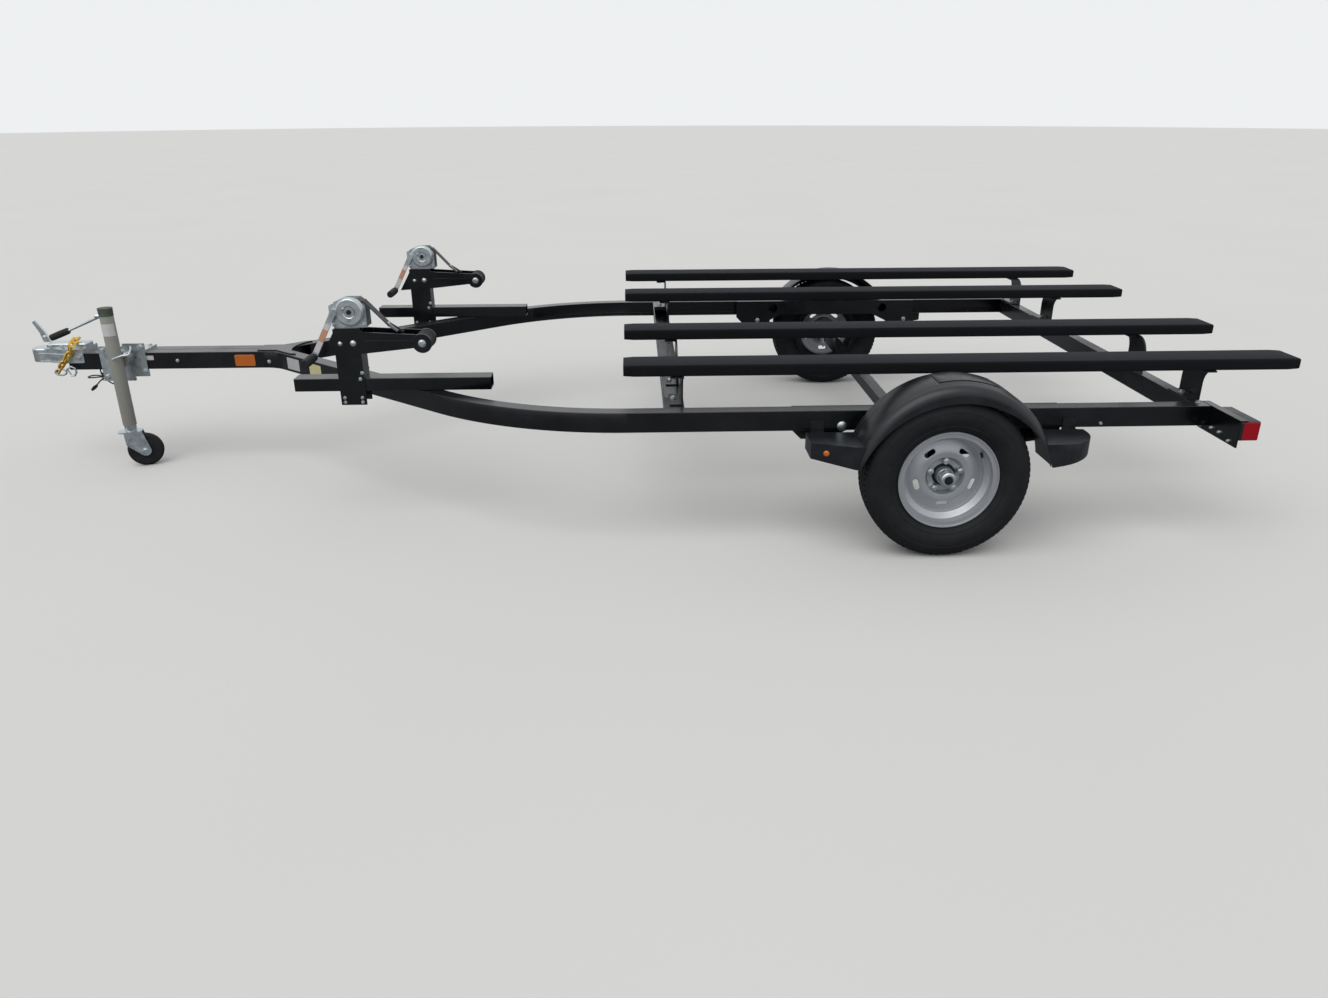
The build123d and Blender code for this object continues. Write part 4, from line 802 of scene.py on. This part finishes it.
strap_web = webbing()
grip_plastic = rubber("black_grip_plastic", "#1b1c1e", "#2b2c2f", 3.0)
winch_x, winch_z = post_x + 25, 825
cover_outline = [
    (0, 53), (1.5, 53.8), (3, 53), (3.4, 51), (6, 49.4), (7.5, 47), (7.5, 24), (5.2, 21), (5.2, 11),
    (5.2, 1)]
grip_outline = [
    (2, 11), (4, 15), (8, 16.4), (30, 17), (60, 17.4), (95, 17), (114, 16.6), (119, 16), (120.6, 14),
    (120.6, 8), (119, 7), (119, 0.5)]
arm_down, arm_side = (-92, 0, -169), (169, 0, -92)
# A white strip covers most of each crank arm's length, with the orange band laid over its middle.
crank_labels = [("white_strip", white_label, 112, 124, 3.3), ("band", orange_label, 100, 52, 3.6)]
hook_shank = [(-5, -6), (5, -6), (7, 8), (9, 30), (9, 44), (-9, 44), (-9, 30), (-7, 8)]
for side, hand in sides:
    line_y = hand * machine_y
    dress(f"winch_{side}", bright_zinc, 0.8)
    dress(f"winch_crank_{side}", bright_zinc, 1.2)
    dress(f"winch_strap_{side}", strap_web, 0.4)
    cover = bmesh.new()
    turned(cover, at(winch_x, line_y - 50, winch_z), (0, -1, 0), cover_outline, 64)
    turned(cover, at(winch_x - 20, line_y - 57, 838), (0, -1, 0), [(0, 5), (1.6, 5), (2.4, 3.5)], 20)
    for x, z in ((-46, 768), (66, 768), (-46, 806), (66, 836)):
        bolt(cover, at(post_x + x + 4, line_y - 35, z + 6), (0, -1, 0), 11)
    show(f"winch_cover_{side}", cover, bright_zinc, "trailer", sharp=30)
    grip = bmesh.new()
    turned(grip, at(post_x - 126, line_y - 60, 656), (0, -1, 0), grip_outline, 32)
    centre_nut = [(0, 10), (4, 10), (5.4, 8.6), (5.4, 1)]
    turned(grip, at(winch_x, line_y - 55, winch_z), (0, -1, 0), centre_nut, 6)
    show(f"winch_grip_{side}", grip, grip_plastic, "trailer", sharp=30)
    for label_name, paper, reach, length, lift in crank_labels:
        label = bmesh.new()
        spot = at(post_x - 34 - 0.478 * reach, line_y - 57 - lift, winch_z - 0.878 * reach)
        slab(label, rounded(length, 20.5, 2), spot, arm_down, arm_side, 0.5)
        show(f"crank_{label_name}_{side}", label, paper, "trailer")
    strap_hook = bmesh.new()
    hook_low, hook_high = at(-2030, line_y - 4, 754), at(-2066, line_y - 4, 785)
    run = (hook_high - hook_low).normalized()
    hook_place = hook_low + run.cross(Vector((0, 1, 0))) * 7 * mm
    slab(strap_hook, hook_shank, hook_place, (0, 1, 0), run, 11)
    show(f"strap_hook_{side}", strap_hook, bright_zinc, "trailer", edge=1.2)


# Lamps: a black housing with red lenses to the side and to the rear, on a bent plate that is bolted
# across the rear of the frame.
def red_lens():
    """Moulded red acrylic lamp lens: deep and glossy with rows of small prisms."""
    made, tree, shader = finish("red_acrylic", {"Roughness": 0.3, "Specular IOR Level": 0.3})
    where = node(tree, "TexCoord").outputs["Object"]
    prisms = node(tree, "TexVoronoi", {"Vector": where, "Scale": 1000 / 5, "Randomness": 0.0})
    shade = node(tree, "Mix", {0: prisms.outputs[0], 6: colour("#b8081c"), 7: colour("#8c0414")},
                 data_type="RGBA")
    relief = node(tree, "Bump", {"Strength": 0.3, "Distance": 0.5 * mm, "Height": prisms.outputs[0]})
    feed(tree, shader, {"Base Color": shade.outputs[2], "Normal": relief.outputs[0]})
    return made


red_acrylic = red_lens()
lamp_z = 472.5
for side, hand in sides:
    dress(f"lamp_bracket_{side}", black_coat, 1.2)
    dress(f"tail_lamp_{side}", black_plastic, 2.0)
    lens_form = bmesh.new()
    side_across = (1, 0, 0) if hand < 0 else (-1, 0, 0)
    slab(lens_form, rounded(58, 66, 7), at(1063, hand * 1268.9, lamp_z), side_across, (0, 0, 1), 9)
    slab(lens_form, rounded(188, 66, 7), at(1093, hand * 1172.5, lamp_z), (0, 1, 0), (0, 0, 1), 9)
    show(f"lamp_lens_{side}", lens_form, red_acrylic, "trailer", edge=2.0)
lamp_bolts = bmesh.new()
for side, hand in sides:
    for y, z in ((1038, 424), (1106, 436), (1159, 436), (1222, 424)):
        bolt(lamp_bolts, at(1018, hand * y, z), (-1, 0, 0), 10)
show("lamp_bolts", lamp_bolts, bright_zinc, "trailer", sharp=30)

# Coupler: a stamped steel ball housing, zinc plated and bolted over the tongue, with a lever latch.
dress("coupler", bright_zinc, 2.5)
dress("coupler_latch", bright_zinc, 1.5)
nose = -3869
lip = [(43, 43), (79, 43), (169, 68), (254, 68), (254, 73), (167, 73), (78, 48), (43, 48)]
latch_pin = [(0, 9), (2, 9), (3, 7), (7, 6.4), (8, 4)]
coupler_trim = bmesh.new()
for side, hand in sides:
    for low, thick in ((468, 5), (505, 3)):
        rows = [[at(nose + x, hand * y, z) for x, y in lip] for z in (low, low + thick)]
        skin(coupler_trim, rows)
    for x, z in ((190, 494), (232, 494)):
        bolt(coupler_trim, at(nose + x, hand * 68, z), (0, hand, 0), 17)
    bolt(coupler_trim, at(nose + 100, hand * 35, 538), (0, hand, 0), 14)
    bolt(coupler_trim, at(nose + 150, hand * 35, 538), (0, hand, 0), 14)
    turned(coupler_trim, at(nose + 66, hand * 6, 574), (0, hand, 0), latch_pin, 20)
show("coupler_trim", coupler_trim, bright_zinc, "trailer", edge=0.8)

# Safety chain: round steel links, yellow zinc plated, laid over the coupler and down its side to a
# snap hook under the tongue.
def yellow_zinc_plate():
    """Yellow chromate over zinc: brassy gold that shifts from straw to orange."""
    made, tree, shader = finish("yellow_zinc_plate", {"Metallic": 1.0})
    where = node(tree, "TexCoord").outputs["Object"]
    tone = node(tree, "TexNoise", {"Vector": where, "Scale": 1000 / 12, "Detail": 3.0})
    shade = node(tree, "Mix", {0: tone.outputs[0], 6: colour("#c98f14"), 7: colour("#ecd06a")},
                 data_type="RGBA")
    rough = node(tree, "MapRange", {0: tone.outputs[0], 3: 0.26, 4: 0.42})
    feed(tree, shader, {"Base Color": shade.outputs[2], "Roughness": rough.outputs[0]})
    return made


gold_zinc = yellow_zinc_plate()
dress("safety_chain", gold_zinc, 0.8)


def wire(form, points, radius, steps=10):
    """Round wire along a row of points, with flat ends."""
    sections = []
    for i, point in enumerate(points):
        run = (points[min(i + 1, len(points) - 1)] - points[max(i - 1, 0)]).normalized()
        side_way = run.cross(Vector((0.3, 0.2, 0.93))).normalized()
        lift = side_way.cross(run)
        angles = [2 * math.pi * k / steps for k in range(steps)]
        spokes = [side_way * math.cos(a) + lift * math.sin(a) for a in angles]
        sections.append([point + spoke * radius * mm for spoke in spokes])
    skin(form, sections)


snap_hook = bmesh.new()
hook_turn = [math.radians(20 * k) for k in range(19)]
wire(snap_hook, [at(-3722 + 26 * math.cos(a), -84, 430 + 14 * math.sin(a)) for a in hook_turn], 3.6)
hook_lane = [
    (-3700, 432), (-3690, 444), (-3672, 456), (-3656, 448), (-3652, 430), (-3662, 414), (-3680, 414)]
wire(snap_hook, [at(x, -84, z) for x, z in hook_lane], 4.4)
wire(snap_hook, [at(-3690, -84, 444), at(-3678, -84, 416)], 3.0)
show("snap_hook", snap_hook, bright_zinc, "trailer", sharp=60)


# Jack: a drawn tube in grey-beige enamel with a zinc mount, crank and caster fork, a bright inner leg
# and a black rubber tyred wheel.
def beige_enamel():
    """Grey-beige enamel on a drawn tube: satin, with fine speckle from the spray."""
    made, tree, shader = finish("grey_beige_enamel", {"Specular IOR Level": 0.5})
    where = node(tree, "TexCoord").outputs["Object"]
    speckle = node(tree, "TexNoise", {"Vector": where, "Scale": 1000 / 3, "Detail": 3.0})
    worn = node(tree, "TexNoise", {"Vector": where, "Scale": 1000 / 40, "Detail": 6.0})
    shade = node(tree, "Mix", {0: speckle.outputs[0], 6: colour("#8b8a80"), 7: colour("#a9a89d")},
                 data_type="RGBA")
    rough = node(tree, "MapRange", {0: worn.outputs[0], 3: 0.32, 4: 0.55})
    feed(tree, shader, {"Base Color": shade.outputs[2], "Roughness": rough.outputs[0]})
    return made


enamel = beige_enamel()
dress("jack_mount", bright_zinc, 1.5)
dress("jack_tube", enamel, 1.0)
dress("jack_crank", bright_zinc, 0.8)
dress("jack_leg", bright_zinc, 0.6)
dress("jack_fork", bright_zinc, 1.2)
dress("jack_wheel", roller_rubber, 2.5)

jack_x, jack_y = -3430, -150
jack_cap = bmesh.new()
cap_outline = [(-32, 29.4), (-6, 30.2), (-2, 31), (2.4, 31), (3.2, 29.6), (3.8, 24), (4, 0.5)]
turned(jack_cap, at(jack_x, jack_y, 730), (0, 0, 1), cap_outline, 40)
show("jack_cap", jack_cap, rubber("olive_cap", "#4d5348", "#6c7264", 2.0), "jack_tube")

jack_grip = bmesh.new()
jack_grip_outline = [(-4, 8), (-2, 12), (2, 14), (40, 14.8), (80, 14.4), (86.6, 13.8), (88, 11), (88, 1)]
turned(jack_grip, at(jack_x - 178, jack_y, 634), (-80, 0, -31), jack_grip_outline, 28)
show("jack_grip", jack_grip, grip_plastic, "jack_tube", sharp=40)

jack_label = bmesh.new()
label_turn = [math.radians(-135 + 6 * k) for k in range(21)]
skin(jack_label, [
    [at(jack_x + 29 * math.cos(a), jack_y + 29 * math.sin(a), z) for a in label_turn] for z in (612, 666)
], closed=False, capped=False)
show("jack_label", jack_label, white_label, "jack_tube")

pull_pin = bmesh.new()
pin_outline = [(0, 12), (3, 12), (3.6, 9), (32, 9), (33, 7), (52, 6.4), (54, 5)]
turned(pull_pin, at(-3392, -112, 520), (0, -1, 0), pin_outline, 24)
wire(pull_pin, [at(-3424, -189, 512), at(-3400, -190, 521), at(-3376, -190, 529), at(-3350, -189, 531)], 5.4)
wire(pull_pin, [at(-3352, -187, 529), at(-3350, -172, 545), at(-3356, -146, 555), at(-3372, -120, 552)], 4)
show("jack_pull_pin", pull_pin, bright_zinc, "jack_tube", sharp=40)

mount_bolts = bmesh.new()
for x, z in ((-3350, 428), (-3350, 540), (-3522, 404), (-3522, 526), (-3452, 404)):
    bolt(mount_bolts, at(x, -73.5, z), (0, -1, 0), 17)
for x in (-3470, -3365):
    bolt(mount_bolts, at(x, -52, 519), (0, 0, 1), 15)
    bolt(mount_bolts, at(x, 52, 519), (0, 0, 1), 15)
show("jack_mount_bolts", mount_bolts, bright_zinc, "trailer", sharp=30)

caster_bolts = bmesh.new()
caster_turn = math.radians(20)
for face in (-1, 1):
    spot = at(jack_x + 44 * math.cos(caster_turn) - face * 28.5 * math.sin(caster_turn),
              jack_y + 44 * math.sin(caster_turn) + face * 28.5 * math.cos(caster_turn), 76)
    bolt(caster_bolts, spot, (-face * math.sin(caster_turn), face * math.cos(caster_turn), 0), 19)
show("caster_bolts", caster_bolts, bright_zinc, "jack_fork", sharp=30)

rail_label = bmesh.new()
slab(rail_label, rounded(32, 20, 3), at(-3321, -64, 487), (1, 0, 0), (0, 0, 1), 0.5)
show("rail_label", rail_label, white_label, "trailer")
